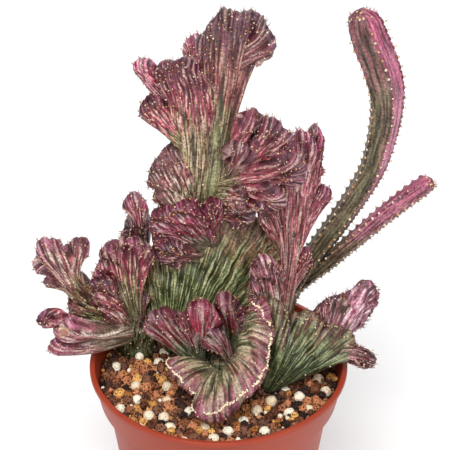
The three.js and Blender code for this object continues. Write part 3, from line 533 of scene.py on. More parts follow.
LEFT_CRESTS = [
    Crest("left_crest", [[-45, 24, 98], [-34, 24, 98]], bow=[[0, -2, 4], [1, -4, 5], [-5, -3, 6]],
          edge=[[-57, 20, 120], [-60, 18, 135], [-56, 16, 146], [-54, 15, 157], [-49, 15, 163],
                [-41, 15, 164], [-34, 16, 161], [-28, 18, 154]],
          thick=(9, 7), tones="crimson", blush=(0.35, 0.8), wave=(2, 3), pitch=4, relief=1.1, fringe=3),
    Crest("left_foot", [[-48, 22, 96], [-29, 18, 96]], bow=[[0, -1, 2], [0, -2, 3]],
          edge=[[-49, 15, 115], [-42, 15, 117], [-35, 15, 116], [-30, 14, 111]],
          thick=(12, 9), dots=0.3, **FOOT),
    Crest("grey_finger", [[-42, 24, 120], [-35, 24, 120]], bow=[[0, 2, 3]],
          edge=[[-42, 27, 156], [-42, 27, 165], [-39, 27, 170], [-34, 27, 169], [-31, 26, 163]],
          thick=(8, 7), tones="dusk", blush=(0.5, 0.9), wave=(0.4, 1), pitch=3.5),
    Crest("grey_tip", [[-38, 27, 167], [-32, 26, 163]], bow=[[0, -1, 1]],
          edge=[[-42, 25, 175], [-43, 24, 180], [-40, 24, 183], [-36, 24, 181], [-32, 24, 175]],
          thick=(8, 9), tones="orchid", blush=(-0.2, 0.4), wave=(0.2, 1), pitch=3.5, relief=1, fringe=3),
    Crest("left_lobe", [[-46, 21, 124], [-42, 20, 128]], bow=[[0, -3, 0], [1, -4, 1]],
          edge=[[-57, 14, 134], [-60, 13, 140], [-58, 12, 144], [-53, 12, 145], [-49, 13, 141]],
          thick=(7, 6), tones="dusk", blush=(0.1, 0.5), wave=(0.4, 1), fringe=2.5),
    Crest("left_fold_high", [[-45, 20, 117], [-42, 19, 121]], bow=[[0, -3, 2], [1, -3, 2]],
          edge=[[-53, 13, 131], [-56, 12, 133], [-56, 12, 137], [-52, 13, 138]],
          tones="rose", blush=(0, 0.4), **LEFT_FOLD),
    Crest("left_fold_middle", [[-44, 20, 113], [-41, 19, 117]], bow=[[0, -3, 2], [1, -3, 2]],
          edge=[[-52, 13, 125], [-55, 12, 128], [-54, 12, 131], [-50, 13, 131]],
          tones="rose", blush=(0, 0.5), **LEFT_FOLD),
    Crest("left_fold_low", [[-43, 20, 108], [-40, 19, 112]], bow=[[0, -3, 2], [1, -3, 2]],
          edge=[[-52, 14, 118], [-53, 12, 123], [-51, 12, 126], [-47, 13, 126]],
          tones="mauve", blush=(0.1, 0.6), **LEFT_FOLD),
    Crest("side_fold", [[-38, 21, 99], [-33, 22, 98]], bow=[[-1, -2, 1], [-3, -1, 1]],
          edge=[[-38, 18, 124], [-35, 18, 131], [-32, 19, 128]],
          thick=(6, 5), tones="mauve", blush=(0.3, 0.8), wave=(0.3, 1)),
    Crest("fork_stem", [[-49, 24, 104], [-43, 24, 113]], bow=[[-1, -1, -1], [-1, 0, 1]],
          edge=[[-72, 15, 135], [-71, 15, 141], [-67, 17, 144], [-62, 18, 141]],
          thick=(10, 9), tones="olive", blush=(0.35, 0.8), pitch=4, relief=0.6, dots=0.3, fringe=0),
    Crest("fork_left", [[-67, 17, 130], [-63, 17, 135]], bow=[[-1, 0, 0], [0, 0, 0]],
          edge=[[-79, 12, 148], [-83, 12, 157], [-82, 12, 162], [-77, 12, 165], [-72, 13, 163],
                [-70, 14, 157]],
          **FORK),
    Crest("fork_right", [[-67, 18, 134], [-64, 19, 138]], bow=[[0, 0, 0], [-2, 0, -1]],
          edge=[[-70, 18, 154], [-68, 18, 159], [-64, 18, 162], [-60, 18, 160], [-59, 18, 154]],
          **FORK),
    Crest("fork_spur", [[-70, 16, 133], [-67, 16, 137]], bow=[[0, 0, 0]],
          edge=[[-78, 12, 138], [-81, 12, 142], [-79, 12, 146]],
          thick=(6, 6), tones="mauve", blush=(0.1, 0.6), wave=(0.2, 1)),
    Crest("green_lobe", [[-44, 23, 104], [-43, 22, 112]], bow=[[0, -2, 1], [0, -1, 1]],
          edge=[[-64, 11, 118], [-69, 10, 124], [-70, 11, 130], [-65, 13, 132]],
          thick=(9, 7), tones="olive", blush=(0.4, 1.0), wave=(0.4, 1)),
    Crest("rim_finger", [[-40, 17, 104], [-42, 20, 113]], bow=[[0, -5, 3], [0, -5, 0]],
          edge=[[-72, -7, 125], [-75, -9, 129], [-73, -8, 133], [-67, -7, 134]],
          thick=(13, 12), relief=0.9, dots=0.3, **RIM_FINGER),
    Crest("rim_finger_low", [[-42, 19, 102], [-43, 20, 109]], bow=[[0, -4, 0], [0, -4, 1]],
          edge=[[-73, -10, 116], [-77, -11, 119], [-76, -10, 123], [-71, -8, 124]],
          thick=(11, 10), relief=1, dots=0.4, **RIM_FINGER),
    Crest("rim_spur", [[-66, -2, 127], [-66, -2, 132]], bow=[[0, 0, 0]],
          edge=[[-79, -10, 131], [-82, -10, 135], [-80, -9, 139], [-75, -8, 137]],
          thick=(7, 7), tones="orchid", blush=(-0.2, 0.3), wave=(0.2, 1)),
]

BRANCH_CRESTS = [
    Crest("right_branch", [[23, 25, 98], [32, 26, 98]], bow=[[5, 2, 3], [0, 2, 0]],
          edge=[[22, 28, 172], [27, 30, 184], [34, 31, 191], [41, 31, 193], [45, 31, 186]],
          thick=(9, 8), tones="rose", blush=(0.05, 0.4), wave=(0.8, 1.5), pitch=4.5, relief=1.3),
    Crest("branch_crest", [[27, 31, 156], [38, 32, 156]], bow=[[1, 0, 2], [0, 1, 0]],
          edge=[[31, 28, 197], [33, 26, 208], [36, 25, 214], [40, 25, 215], [43, 27, 210]],
          **BRANCH_CREST),
    Crest("branch_crest_right", [[31, 31, 156], [39, 32, 156]], bow=[[0, 1, 1], [1, 0, 3]],
          edge=[[40, 29, 202], [41, 28, 212], [44, 28, 215], [47, 29, 209], [47, 30, 199], [46, 31, 190]],
          **BRANCH_CREST),
    Crest("branch_finger", [[35, 31, 149], [39, 32, 147]], bow=[[-1, 0, 0], [-1, 0, 2]],
          edge=[[44, 30, 179], [47, 30, 183], [51, 31, 181], [50, 32, 176]],
          thick=(7, 6), tones="orchid", blush=(-0.1, 0.3), wave=(0.3, 1)),
    Crest("branch_bud", [[38, 31, 171], [41, 32, 171]], bow=[[0, 0, 0]],
          edge=[[42, 31, 184], [44, 31, 187], [46, 32, 183]],
          thick=(5, 5), tones="orchid", blush=(-0.2, 0.2)),
    Crest("branch_spur", [[28, 30, 146], [31, 30, 145]], bow=[[-1, 0, 2], [0, 0, 2]],
          edge=[[18, 26, 168], [18, 25, 174], [21, 26, 176], [26, 27, 173]],
          thick=(7, 7), tones="rose", blush=(0.0, 0.5), wave=(0.3, 1)),
    Crest("low_nub", [[30, 29, 120], [33, 30, 120]], bow=[[0, 0, 2], [0, 0, 3]],
          edge=[[37, 29, 145], [41, 29, 149], [44, 30, 144], [42, 31, 138]],
          thick=(7, 7), tones="rose", blush=(0.1, 0.5), wave=(0.4, 1)),
    Crest("foot_fan", [[21, 24, 98], [28, 24, 98]], bow=[[1, -1, 5], [0, -2, 4], [0, -1, 4]],
          edge=[[15, 17, 124], [14, 15, 133], [15, 14, 143], [17, 15, 151], [21, 16, 154], [25, 18, 151],
                [28, 21, 143]],
          thick=(9, 7), tones="ash", blush=(0.35, 0.8), wave=(0.8, 1.5), pitch=3, relief=1, fringe=2.5),
]

COLUMNS = [
    Column("tall_column",
           path=[[29, 38, 97], [32, 39, 112], [38, 39, 125], [46, 38, 141], [55, 37, 157], [64, 35, 175],
                 [70, 33, 190], [73, 32, 205], [74.5, 31, 219], [74, 30, 232], [70, 30, 247], [66, 30, 257],
                 [61, 30, 272]],
           radii=[6, 5.2, 5.2, 5.4, 5.6, 5.8, 6.2, 7, 8, 8.9, 8.9, 8]),
    Column("leaning_column",
           path=[[36, 40, 118], [43, 40, 125], [51, 39, 133], [58, 37, 142], [66, 36, 151], [75, 34, 162],
                 [84, 31, 173], [97, 28, 187]],
           radii=[4, 4, 4.2, 4.4, 4.6, 4.8, 4.9, 4.5]),
]

# The stems of each node of the CAD part
PLANT = {
    "crest_front": FRONT_CRESTS,
    "crest_front_right": FRONT_RIGHT_CRESTS,
    "crest_centre": CENTRE_CRESTS,
    "crest_left": LEFT_CRESTS,
    "branch_right": BRANCH_CRESTS,
    "column_stems": COLUMNS,
}


def link(name, data):
    """A new object in the scene."""
    made = bpy.data.objects.new(name, data)
    bpy.context.scene.collection.objects.link(made)
    return made


class Mesh:
    """Collects places in millimetres, faces and colours, and turns them into one Blender object."""

    def __init__(self):
        self.places = []
        self.faces = []
        self.layers = {}
        self.count = 0

    def add(self, places, faces, **layers):
        """Adds a form. Its faces count its own places from 0, and layers hold a value for each place."""
        self.places.append(places)
        self.faces.extend(np.asarray(face) + self.count for face in faces)
        for name, values in layers.items():
            self.layers.setdefault(name, []).append(np.asarray(values, np.float32))
        self.count += len(places)

    def add_copies(self, places, faces, tone):
        """Copies of one small form: places is a stack with one form in each layer."""
        count, corners, _ = places.shape
        step = np.arange(count)[:, None, None] * corners
        self.add(places.reshape(-1, 3), [(faces[None] + step).reshape(-1, 3)], tone=tone)

    def build(self, name, material):
        """The object, whose points carry the layers as attributes."""
        data = bpy.data.meshes.new(name)
        corners = np.concatenate([face.ravel() for face in self.faces])
        sizes = np.concatenate([np.full(len(face), face.shape[1]) for face in self.faces])
        places = np.vstack(self.places) * MM
        data.vertices.add(len(places))
        data.vertices.foreach_set("co", places.ravel().astype(np.float32))
        data.loops.add(len(corners))
        data.loops.foreach_set("vertex_index", corners.astype(np.int32))
        data.polygons.add(len(sizes))
        starts = np.concatenate([[0], np.cumsum(sizes)[:-1]])
        data.polygons.foreach_set("loop_start", starts.astype(np.int32))
        data.polygons.foreach_set("use_smooth", np.ones(len(sizes), bool))
        data.update(calc_edges=True)
        data.validate()
        for layer, values in self.layers.items():
            values = np.concatenate(values)
            kind = "FLOAT_COLOR" if values.ndim == 2 else "FLOAT"
            attribute = data.attributes.new(layer, kind, "POINT")
            key = "color" if kind == "FLOAT_COLOR" else "value"
            attribute.data.foreach_set(key, values.ravel())
        data.materials.append(material)
        return link(name, data)


def ring_faces(rows, size):
    """Quads between closed rings of points that follow one another."""
    row = np.arange(rows - 1)[:, None] * size
    corner = np.arange(size)[None, :]
    after = (corner + 1) % size
    quads = np.stack([row + corner, row + after, row + size + after, row + size + corner], axis=-1)
    return quads.reshape(-1, 4)


def tone_layers(tones):
    """The four tones of a skin as layers of its mesh."""
    return dict(zip(("low_tone", "high_tone", "tip_tone", "vein_tone"), tones))


def tube_faces(rows, size):
    """Closed rings, and fans that close them round their two end points, which come last."""
    corner = np.arange(size)
    after = (corner + 1) % size
    last = (rows - 1) * size
    low = np.stack([after, corner, np.full(size, rows * size)], axis=-1)
    high = np.stack([last + corner, last + after, np.full(size, rows * size + 1)], axis=-1)
    return [ring_faces(rows, size), low, high]


def fan_faces(rows, columns):
    """A flattened tube: rings, closed at the root, whose two sides meet on the line of the last points."""
    size = 2 * columns
    last = (rows - 1) * size
    line = rows * size
    step = np.arange(columns)
    top_front = np.stack([last + step, last + step + 1, line + step + 1, line + step], axis=-1)
    here = last + (size - step) % size
    there = last + size - step - 1
    top_back = np.stack([there, here, line + step, line + step + 1], axis=-1)
    inner = np.arange(1, columns - 1)
    cap = np.stack([inner + 1, inner, size - inner, size - inner - 1], axis=-1)
    ends = np.array([[1, 0, size - 1], [columns, columns - 1, columns + 1]])
    return [np.vstack([ring_faces(rows, size), top_front, top_back, cap]), ends]


def crest_mesh(mesh, crest):
    """A closed skin round a crest: rings from root to growing line, which close there on one line."""
    columns = int(np.clip(crest.widths.max() / SKIN_STEP_ACROSS, 20, 150))
    body = int(np.clip(crest.reach * (1 - crest.band) / SKIN_STEP_ALONG, 8, 64))
    arc = np.sin(np.linspace(0, np.pi / 2, 6))[1:]
    v_rows = np.concatenate([np.linspace(0, 1 - crest.band, body), 1 - crest.band * (1 - arc)])
    shares = np.linspace(0, 1, columns + 1)
    u_line = 0.5 - 0.5 * np.cos(np.pi * shares)
    u_line = 0.75 * shares + 0.25 * u_line
    size = 2 * columns
    ring_u = np.concatenate([u_line, u_line[-2:0:-1]])
    ring_side = np.concatenate([np.ones(columns + 1), -np.ones(columns - 1)])
    u = np.tile(ring_u, len(v_rows) - 1)
    side = np.tile(ring_side, len(v_rows) - 1)
    v = np.repeat(v_rows[:-1], size)
    u = np.concatenate([u, u_line])
    side = np.concatenate([side, np.ones(columns + 1)])
    v = np.concatenate([v, np.ones(columns + 1)])
    places, _, rib = crest.surface(u, v, side)
    stretch = RIB_PITCH / crest.pitch
    # The rib height, flattened where the ribs are shallow, so that the painted shade in the grooves follows
    # their depth
    rib = 1 - (1 - rib**stretch) * min(crest.relief / RIB_RELIEF, 1) * crest.deepening(v)
    # How high each place stands on the broad folds, which sets the painted shade in their valleys and the
    # painted light on their tops
    fold = 0.5 + 0.5 * side * crest.folds(u, v) * min(crest.fold / FOLD_DEPTH, 1)

    tones = [np.tile(linear(*tone), (len(places), 1)) for tone in TONES[crest.tones]]
    along = v * crest.reach * stretch * min(1, STREAK_REACH / crest.reach)
    blush = smoothstep(*crest.blush, v)
    mesh.add(places, fan_faces(len(v_rows) - 1, columns), growth=v, rib=rib, blush=blush, fold=fold,
             knob=stretch * crest.bumps(u, v), across=u * crest.widths.max() * stretch**0.5,
             along=along + 37 * crest.phase, **tone_layers(tones))


def column_mesh(mesh, column):
    """A closed skin round a column, redder on the side that the sun reaches and along its ribs."""
    size = COLUMN_SIDES_PER_RIB * column.ribs
    rows = int(column.length / COLUMN_STEP)
    tip = 1 - (column.radii[-1] / column.length) * (1 - np.sin(np.linspace(0, np.pi / 2, 12)))
    v_rows = np.concatenate([np.linspace(0, tip[0], rows)[:-1], tip[:-1]])
    angle = np.tile(2 * np.pi * np.arange(size) / size, len(v_rows))
    v = np.repeat(v_rows, size)
    angle = np.concatenate([angle, [0, 0]])
    v = np.concatenate([v, [0, 1]])
    places, _, rib, out = column.surface(angle, v)
    count = len(places)
    places[-2:] = smooth_curve(column.path, np.array([0.0, 1.0]))

    sun = smoothstep(0.5, 0.66, out[:, 0] - 0.25 * out[:, 1]) * smoothstep(0.25, 0.6, v)
    if column.name == "leaning_column":
        sun = smoothstep(0.1, 0.6, v) * (0.45 + 0.3 * smoothstep(-0.3, 0.4, out[:, 2]))
    ridge = 0.6 * smoothstep(0.8, 0.97, rib)
    tones = [np.outer(1 - sun, shade) + np.outer(sun, lit) for shade, lit in zip(SHADE_FACE, SUN_FACE)]
    tones = [tone + ridge[:, None] * (np.array(RIDGE_TONE) - tone) for tone in tones]
    blush = smoothstep(0.25, 0.6, v) * (0.3 + 0.7 * sun)
    # Even rib and fold values: the painted shade of grooves and folds is the same all over a column
    even = np.full(count, 0.6)
    mesh.add(places, tube_faces(len(v_rows), size), growth=v, rib=even, fold=even, blush=blush,
             knob=np.zeros(count), across=angle * 6, along=v * column.length * 0.35, **tone_layers(tones))


def crest_areoles(crest):
    """Places of the areoles on both faces and along the growing line, with their outward directions."""
    found = []
    v_line = np.linspace(0.12, 1 - 0.35 * crest.band, 500)
    beat = crest.beat(v_line)
    counts = (2 ** np.round(crest.rib_count(v_line))).astype(int)
    for rib in range(counts.max()):
        phase = (rib * GOLDEN_TURN) % 1
        turns = np.floor(beat + phase)
        hits = np.nonzero((np.diff(turns) > 0) & (rib < counts[1:]))[0] + 1
        if len(hits) == 0:
            continue
        u = (rib + 0.5) / counts[hits]
        v = v_line[hits]
        for side in (1, -1):
            kept = random.random(len(hits)) < crest.dots + 0.4 * (v > 0.85)
            jitter = 0.3 * random.standard_normal(kept.sum()) / counts[hits][kept]
            places, out, _ = crest.surface(u[kept] + jitter, v[kept], np.full(kept.sum(), side))
            found.append((places, out, v[kept]))
    many = int(crest.fringe * crest.widths[-1] / FRINGE_PITCH)
    u = (np.arange(many) + random.random(many)) / max(many, 1)
    v = 1 - crest.fringe * crest.band * 0.45 * random.random(many)
    side = np.where(random.random(many) < 0.5, 1, -1)
    places, out, _ = crest.surface(u, v, side)
    found.append((places, out, np.full(many, 1.2)))
    return tuple(np.concatenate(part) for part in zip(*found))


def column_areoles(column):
    """Places of the areoles along the ribs and round the tip, with their outward directions."""
    found = []
    for rib in range(column.ribs):
        beats = np.arange(1, int(column.length / COLUMN_AREOLE_PITCH))
        v = (beats - 0.5 * (rib % 2)) * COLUMN_AREOLE_PITCH / column.length
        angle = np.full(len(v), 2 * np.pi * rib / column.ribs)
        places, out, _, _ = column.surface(angle, v)
        found.append((places, out, v))
    angle = random.random(COLUMN_TIP_AREOLES) * 2 * np.pi
    places, out, _, _ = column.surface(angle, 1 - 0.03 * random.random(COLUMN_TIP_AREOLES))
    found.append((places, out, np.full(COLUMN_TIP_AREOLES, 1.2)))
    return tuple(np.concatenate(part) for part in zip(*found))


def icosahedron():
    """The twelve corners, at distance 1 from the middle, and the twenty triangles."""
    golden = (1 + math.sqrt(5)) / 2
    corners = np.array([[-1, golden, 0], [1, golden, 0], [-1, -golden, 0], [1, -golden, 0],
                        [0, -1, golden], [0, 1, golden], [0, -1, -golden], [0, 1, -golden],
                        [golden, 0, -1], [golden, 0, 1], [-golden, 0, -1], [-golden, 0, 1]])
    faces = np.array([[0, 11, 5], [0, 5, 1], [0, 1, 7], [0, 7, 10], [0, 10, 11],
                      [1, 5, 9], [5, 11, 4], [11, 10, 2], [10, 7, 6], [7, 1, 8],
                      [3, 9, 4], [3, 4, 2], [3, 2, 6], [3, 6, 8], [3, 8, 9],
                      [4, 9, 5], [2, 4, 11], [6, 2, 10], [8, 6, 7], [9, 8, 1]])
    return unit(corners), faces


def subdivided(corners, faces):
    """Each triangle in four, with the new corners on the sphere."""
    middles = {}
    corners = list(corners)

    def between(a, b):
        key = (min(a, b), max(a, b))
        if key not in middles:
            middles[key] = len(corners)
            point = corners[a] + corners[b]
            corners.append(point / np.linalg.norm(point))
        return middles[key]

    smaller = []
    for a, b, c in faces:
        ab, bc, ca = between(a, b), between(b, c), between(c, a)
        smaller += [[a, ab, ca], [b, bc, ab], [c, ca, bc], [ab, bc, ca]]
    return np.array(corners), np.array(smaller)


def areole_mesh(mesh, places, out, scale=1.0):
    """Low tufts of wool, one on each areole, half sunk in the flesh."""
    corners, faces = icosahedron()
    count = len(places)
    size = scale * AREOLE_RADIUS * (0.7 + 0.6 * random.random(count))
    flat = corners[None] * size[:, None, None]
    height = (flat * out[:, None, :]).sum(axis=2, keepdims=True)
    flat = flat - 0.35 * height * out[:, None, :] + places[:, None, :]
    mesh.add_copies(flat, faces, np.repeat(random.random(count), len(corners)))


def spine_mesh(mesh, places, out, v):
    """Small needles fanned out of each areole: more and longer ones near the growing line."""
    for share in SPINE_CHANCES:
        chance = share + 0.2 * smoothstep(0.75, 1.0, v)
        kept = random.random(len(places)) < chance
        count = int(kept.sum())
        lean = unit(random.standard_normal((count, 3)))
        way = unit(out[kept] + 0.65 * lean)
        length = (1.0 + 0.7 * random.random(count)) * (1 + 0.6 * smoothstep(0.8, 1.1, v[kept]))
        side = unit(np.cross(way, lean + 0.01))
        other = np.cross(way, side)
        foot = places[kept] - 0.2 * way
        ring = [foot + SPINE_RADIUS * (side * math.cos(a) + other * math.sin(a)) for a in SPINE_CORNERS]
        points = np.stack([*ring, foot + way * (length + 0.2)[:, None]], axis=1)
        faces = np.array([[0, 1, 3], [1, 2, 3], [2, 0, 3], [0, 2, 1]])
        mesh.add_copies(points, faces, np.tile([0.0, 0.0, 0.0, 1.0], count))


def wool_mesh(mesh, crest):
    """The white woolly growing line: a broken row of small tufts that touch one another."""
    corners, faces = icosahedron()
    many = int(crest.widths[-1] / WOOL_PITCH)
    u = (np.arange(many) + random.random(many)) / many
    thin = noise_row(u * crest.widths[-1] * 0.35 + 9 * crest.phase)
    kept = thin > -0.32
    u = u[kept]
    count = len(u)
    sway = crest.wool + 0.02 * np.sin(7 * u + 6 * crest.phase)
    places, out, _ = crest.surface(u, sway, -np.ones(count))
    size = 0.36 + 0.34 * random.random(count) * (0.6 + thin[kept])
    points = corners[None] * size[:, None, None] + (places + 0.1 * out)[:, None, :]
    points = points + 0.25 * random.standard_normal((count, 1, 3))
    mesh.add_copies(points, faces, np.repeat(0.6 + 0.4 * random.random(count), len(corners)))


def scar_mesh(mesh, crest):
    """A healed oval cut where the crest comes nearest to its place: a corky rim round a smooth hollow."""
    spread = np.linspace(0.05, 0.95, 31)
    u, v, side = (grid.ravel() for grid in np.meshgrid(spread, spread, [1, -1]))
    places, out, _ = crest.surface(u, v, side)
    nearest = np.argmin(np.linalg.norm(places - np.array(SCAR_PLACE), axis=1))
    axis = out[nearest]
    corners, faces = subdivided(*subdivided(*subdivided(*icosahedron())))
    height = corners @ axis
    across = corners - np.outer(height, axis)
    ring = np.exp(-(((np.linalg.norm(across, axis=1) - 0.84) / 0.12) ** 2))
    ring = ring * (0.6 + 0.4 * np.sin(5 * corners[:, 0] + 7 * corners[:, 1]))
    across = across * (1 + 0.24 * np.sin(3 * corners[:, 2] + 2 * corners[:, 0]))[:, None]
    rise = 0.35 * height + np.where(height > 0, 0.22 * ring, 0)
    places = places[nearest] + SCAR_RADIUS * (across + np.outer(rise, axis))
    mesh.add(places, [faces], tone=0.15 + 0.85 * ring)


def noise_row(places):
    """Smooth noise along a line."""
    return np.array([noise.noise(Vector((x, 0.5, 0.5))) for x in places])


def inner_radius(z):
    """The inside of the pot's wall at a height."""
    collar_bottom = POT_HEIGHT - COLLAR_HEIGHT
    if z < collar_bottom:
        share = (z - FLOOR_THICKNESS) / (collar_bottom - FLOOR_THICKNESS)
        return BASE_RADIUS - WALL + (SHOULDER_RADIUS - BASE_RADIUS) * share
    share = (z - collar_bottom) / (POT_HEIGHT - LIP_HEIGHT - collar_bottom)
    return COLLAR_FOOT - WALL + (RIM_RADIUS - LIP_WIDTH - COLLAR_FOOT + WALL) * share


def rounded(profile, radius, steps=4):
    """A profile with its corners turned into small arcs."""
    points = [np.array(point, float) for point in profile]
    found = [points[0]]
    for before, corner, after in zip(points, points[1:], points[2:]):
        towards, away = before - corner, after - corner
        cut = min(radius, np.linalg.norm(towards) / 2.2, np.linalg.norm(away) / 2.2)
        start = corner + towards / np.linalg.norm(towards) * cut
        end = corner + away / np.linalg.norm(away) * cut
        for t in np.linspace(0, 1, steps + 1):
            found.append(start * (1 - t) ** 2 + corner * 2 * t * (1 - t) + end * t * t)
    return [*found, points[-1]]


def lathe(mesh, profile, sides):
    """A closed turned body: the profile starts and ends on the axis."""
    inner = np.array(profile[1:-1])
    angle = 2 * np.pi * np.arange(sides) / sides
    rings = [np.stack([r * np.cos(angle), r * np.sin(angle), np.full(sides, z)], axis=1) for r, z in inner]
    ends = np.array([[0, 0, profile[0][1]], [0, 0, profile[-1][1]]])
    mesh.add(np.vstack([*rings, ends]), tube_faces(len(inner), sides))


def drill_holes(pot, material):
    """Cuts the drain holes through the pot's floor."""
    drills = Mesh()
    for hole in range(DRAIN_HOLES):
        drill = Mesh()
        lathe(drill, [(0, -2), (DRAIN_HOLE_RADIUS, -2), (DRAIN_HOLE_RADIUS, 6), (0, 6)], HOLE_SIDES)
        turn = 2 * math.pi * hole / DRAIN_HOLES
        shift = [DRAIN_CIRCLE_RADIUS * math.cos(turn), DRAIN_CIRCLE_RADIUS * math.sin(turn), 0]
        drills.add(np.vstack(drill.places) + shift, drill.faces)
    cutter = drills.build("drills", material)
    cut = pot.modifiers.new("holes", "BOOLEAN")
    cut.operation = "DIFFERENCE"
    cut.solver = "EXACT"
    cut.object = cutter
    bpy.context.view_layer.objects.active = pot
    pot.select_set(True)
    bpy.ops.object.modifier_apply(modifier="holes")
    bpy.data.objects.remove(cutter)


def make_pot(material):
    """The pot: a tapering body on a foot ring, a collar with a lip, and drain holes."""
    collar_bottom = POT_HEIGHT - COLLAR_HEIGHT
    collar_top = POT_HEIGHT - LIP_HEIGHT
    foot = BASE_RADIUS - FOOT_RING_WIDTH
    profile = rounded([
        (0, BASE_RECESS), (foot - 1, BASE_RECESS), (foot, 0), (BASE_RADIUS, 0),
        (SHOULDER_RADIUS, collar_bottom), (COLLAR_FOOT, collar_bottom), (COLLAR_RADIUS, collar_top),
        (RIM_RADIUS, collar_top), (RIM_RADIUS, POT_HEIGHT), (RIM_RADIUS - LIP_WIDTH, POT_HEIGHT),
        (RIM_RADIUS - LIP_WIDTH, collar_top), (inner_radius(collar_bottom + 1.5), collar_bottom + 1.5),
        (inner_radius(collar_bottom - 1), collar_bottom - 1), (BASE_RADIUS - WALL, FLOOR_THICKNESS + 0.4),
        (0, FLOOR_THICKNESS + 0.4),
    ], POT_CORNER_RADIUS)
    mesh = Mesh()
    lathe(mesh, profile, POT_SIDES)
    pot = mesh.build("pot_shell", material)
    drill_holes(pot, material)
    # Flat shading of the level floor, where smooth shading would draw rays between the holes
    for face in pot.data.polygons:
        if face.center.z < 1.5 * FLOOR_THICKNESS * MM and abs(face.normal.z) > 0.9:
            face.use_smooth = False
    return pot


def stone_shape(corners, radius, rough, seed):
    """A grain: a sphere pressed out of round, with knobs and pits in its surface."""
    uneven_share = min(1, 0.25 + 2.4 * rough)
    stretch = 1 + 0.22 * uneven_share * np.array([noise.noise(Vector((seed, k, 3.1))) for k in range(3)])
    shaped = np.empty_like(corners)
    for i, corner in enumerate(corners):
        spot = Vector(corner) + Vector((seed * 1.7, seed * 0.9, seed * 2.3))
        lump = 0.24 * uneven_share * noise.noise(spot * 1.1) + rough * noise.noise(spot * 2.9)
        pit = rough * 1.2 * max(0, noise.noise(spot * 4.6) - 0.05)
        shaped[i] = corner * (1 + lump - pit) * stretch
    return shaped * radius


def place_stones(flesh):
    """Grains packed over the bed: large ones first, clear of the flesh, of one another and of the pot."""
    tree = KDTree(len(flesh))
    for i, point in enumerate(flesh):
        tree.insert(Vector(point), i)
    tree.balance()
    placed = []
    grid = {}
    for tries, least, most, height, share in GRAIN_LAYERS:
        radii = np.sort(least + (most - least) * random.random(tries) ** 1.3)[::-1]
        for radius in radii:
            away = (inner_radius(SOIL_LEVEL) - radius * 1.02) * math.sqrt(random.random())
            turn = 2 * math.pi * random.random()
            spot = np.array([away * math.cos(turn), away * math.sin(turn)])
            z = SOIL_LEVEL + height + 0.8 * random.random()
            key = (int(spot[0] // GRAIN_CELL), int(spot[1] // GRAIN_CELL))
            cells = [(key[0] + dx, key[1] + dy) for dx in (-1, 0, 1) for dy in (-1, 0, 1)]
            near = [grain for cell_key in cells for grain in grid.get(cell_key, [])]
            centre = np.array([*spot, z])
            if any(np.linalg.norm(centre - other) < share * (radius + size) for other, size in near):
                continue
            if tree.find(Vector(centre))[2] < radius * 0.75:
                continue
            grid.setdefault(key, []).append((centre, radius))
            placed.append((centre, radius))
    return placed


def make_stones(flesh, materials):
    """Four kinds of grain, with fewer faces on the crumbs between them."""
    coarse = subdivided(*icosahedron())
    fine = subdivided(*coarse)
    kinds = {kind: Mesh() for kind in GRAIN_ROUGHNESS}
    pumice = []
    for number, (centre, radius) in enumerate(place_stones(flesh)):
        crumb = radius < CRUMB_RADIUS
        apart = all(np.linalg.norm(centre - other) > PUMICE_SPACING for other in pumice)
        shares = CRUMB_SHARES if crumb else APART_SHARES if apart and radius > LARGE_RADIUS else NEAR_SHARES
        kind = random.choice(list(kinds), p=shares)
        corners, faces = coarse if crumb else fine
        size = radius
        if kind == "pumice" and not crumb:
            size = min(max(radius, PUMICE_RADII[0]), PUMICE_RADII[1])
            centre = centre + np.array([0, 0, PUMICE_LIFT])
            pumice.append(centre)
        shape = stone_shape(corners, size, GRAIN_ROUGHNESS[kind], 0.37 * number)
        turn = random.random() * 2 * math.pi
        cosine, sine = math.cos(turn), math.sin(turn)
        spin = np.array([[cosine, -sine, 0], [sine, cosine, 0], [0, 0, 1]])
        kinds[kind].add(shape @ spin.T + centre, [faces], tone=np.full(len(corners), random.random()))
    return [mesh.build(f"grains_{kind}", materials[kind]) for kind, mesh in kinds.items()]


def make_bed(material):
    """The bed under the grains, which fills the pot."""
    floor = FLOOR_THICKNESS + 0.7
    shoulder = POT_HEIGHT - COLLAR_HEIGHT - 2
    top = SOIL_LEVEL - BED_DEPTH
    radii = np.linspace(inner_radius(SOIL_LEVEL) - BED_GAP, 1, 46)
    profile = [(0, floor), (BASE_RADIUS - WALL - BED_GAP, floor)]
    profile += [(inner_radius(shoulder) - BED_GAP, shoulder)]
    profile += [(radius, top) for radius in radii] + [(0, top)]
    mesh = Mesh()
    lathe(mesh, profile, BED_SIDES)
    places = mesh.places[0]
    for i in np.nonzero(places[:, 2] > SOIL_LEVEL - 2)[0]:
        lump = 1.1 * noise.noise(Vector(places[i] * 0.55))
        places[i, 2] += lump + 0.5 * noise.noise(Vector(places[i] * 1.4))
    return mesh.build("substrate_bed", material)


def add(tree, kind, sockets=None, **settings):
    """A shader node with its settings, and its sockets set to values or linked to other outputs."""
    new = tree.nodes.new(kind)
    for name, value in settings.items():
        setattr(new, name, value)
    for name, value in (sockets or {}).items():
        if isinstance(value, bpy.types.NodeSocket):
            tree.links.new(value, new.inputs[name])
        else:
            new.inputs[name].default_value = value
    return new


def blend(tree, share, first, second, mode="MIX"):
    """Two colours mixed by a share, which is a number or the output of a node."""
    mixed = add(tree, "ShaderNodeMix", {0: share, 6: first, 7: second}, data_type="RGBA", blend_type=mode)
    return mixed.outputs[2]


def times(tree, color, tone):
    """A colour multiplied by another or by a number."""
    return blend(tree, 1.0, color, tone, "MULTIPLY")


def stain_and_shade(tree, color, share, red, green, blue):
    """A colour darkened by a share, for the flesh's own marks and for painted shade."""
    return blend(tree, share, color, times(tree, color, linear(red, green, blue)))


def calculate(tree, operation, first, second=0.0):
    return add(tree, "ShaderNodeMath", {0: first, 1: second}, operation=operation).outputs[0]


def product(tree, total, *factors):
    """The product of two or more values."""
    for factor in factors:
        total = calculate(tree, "MULTIPLY", total, factor)
    return total


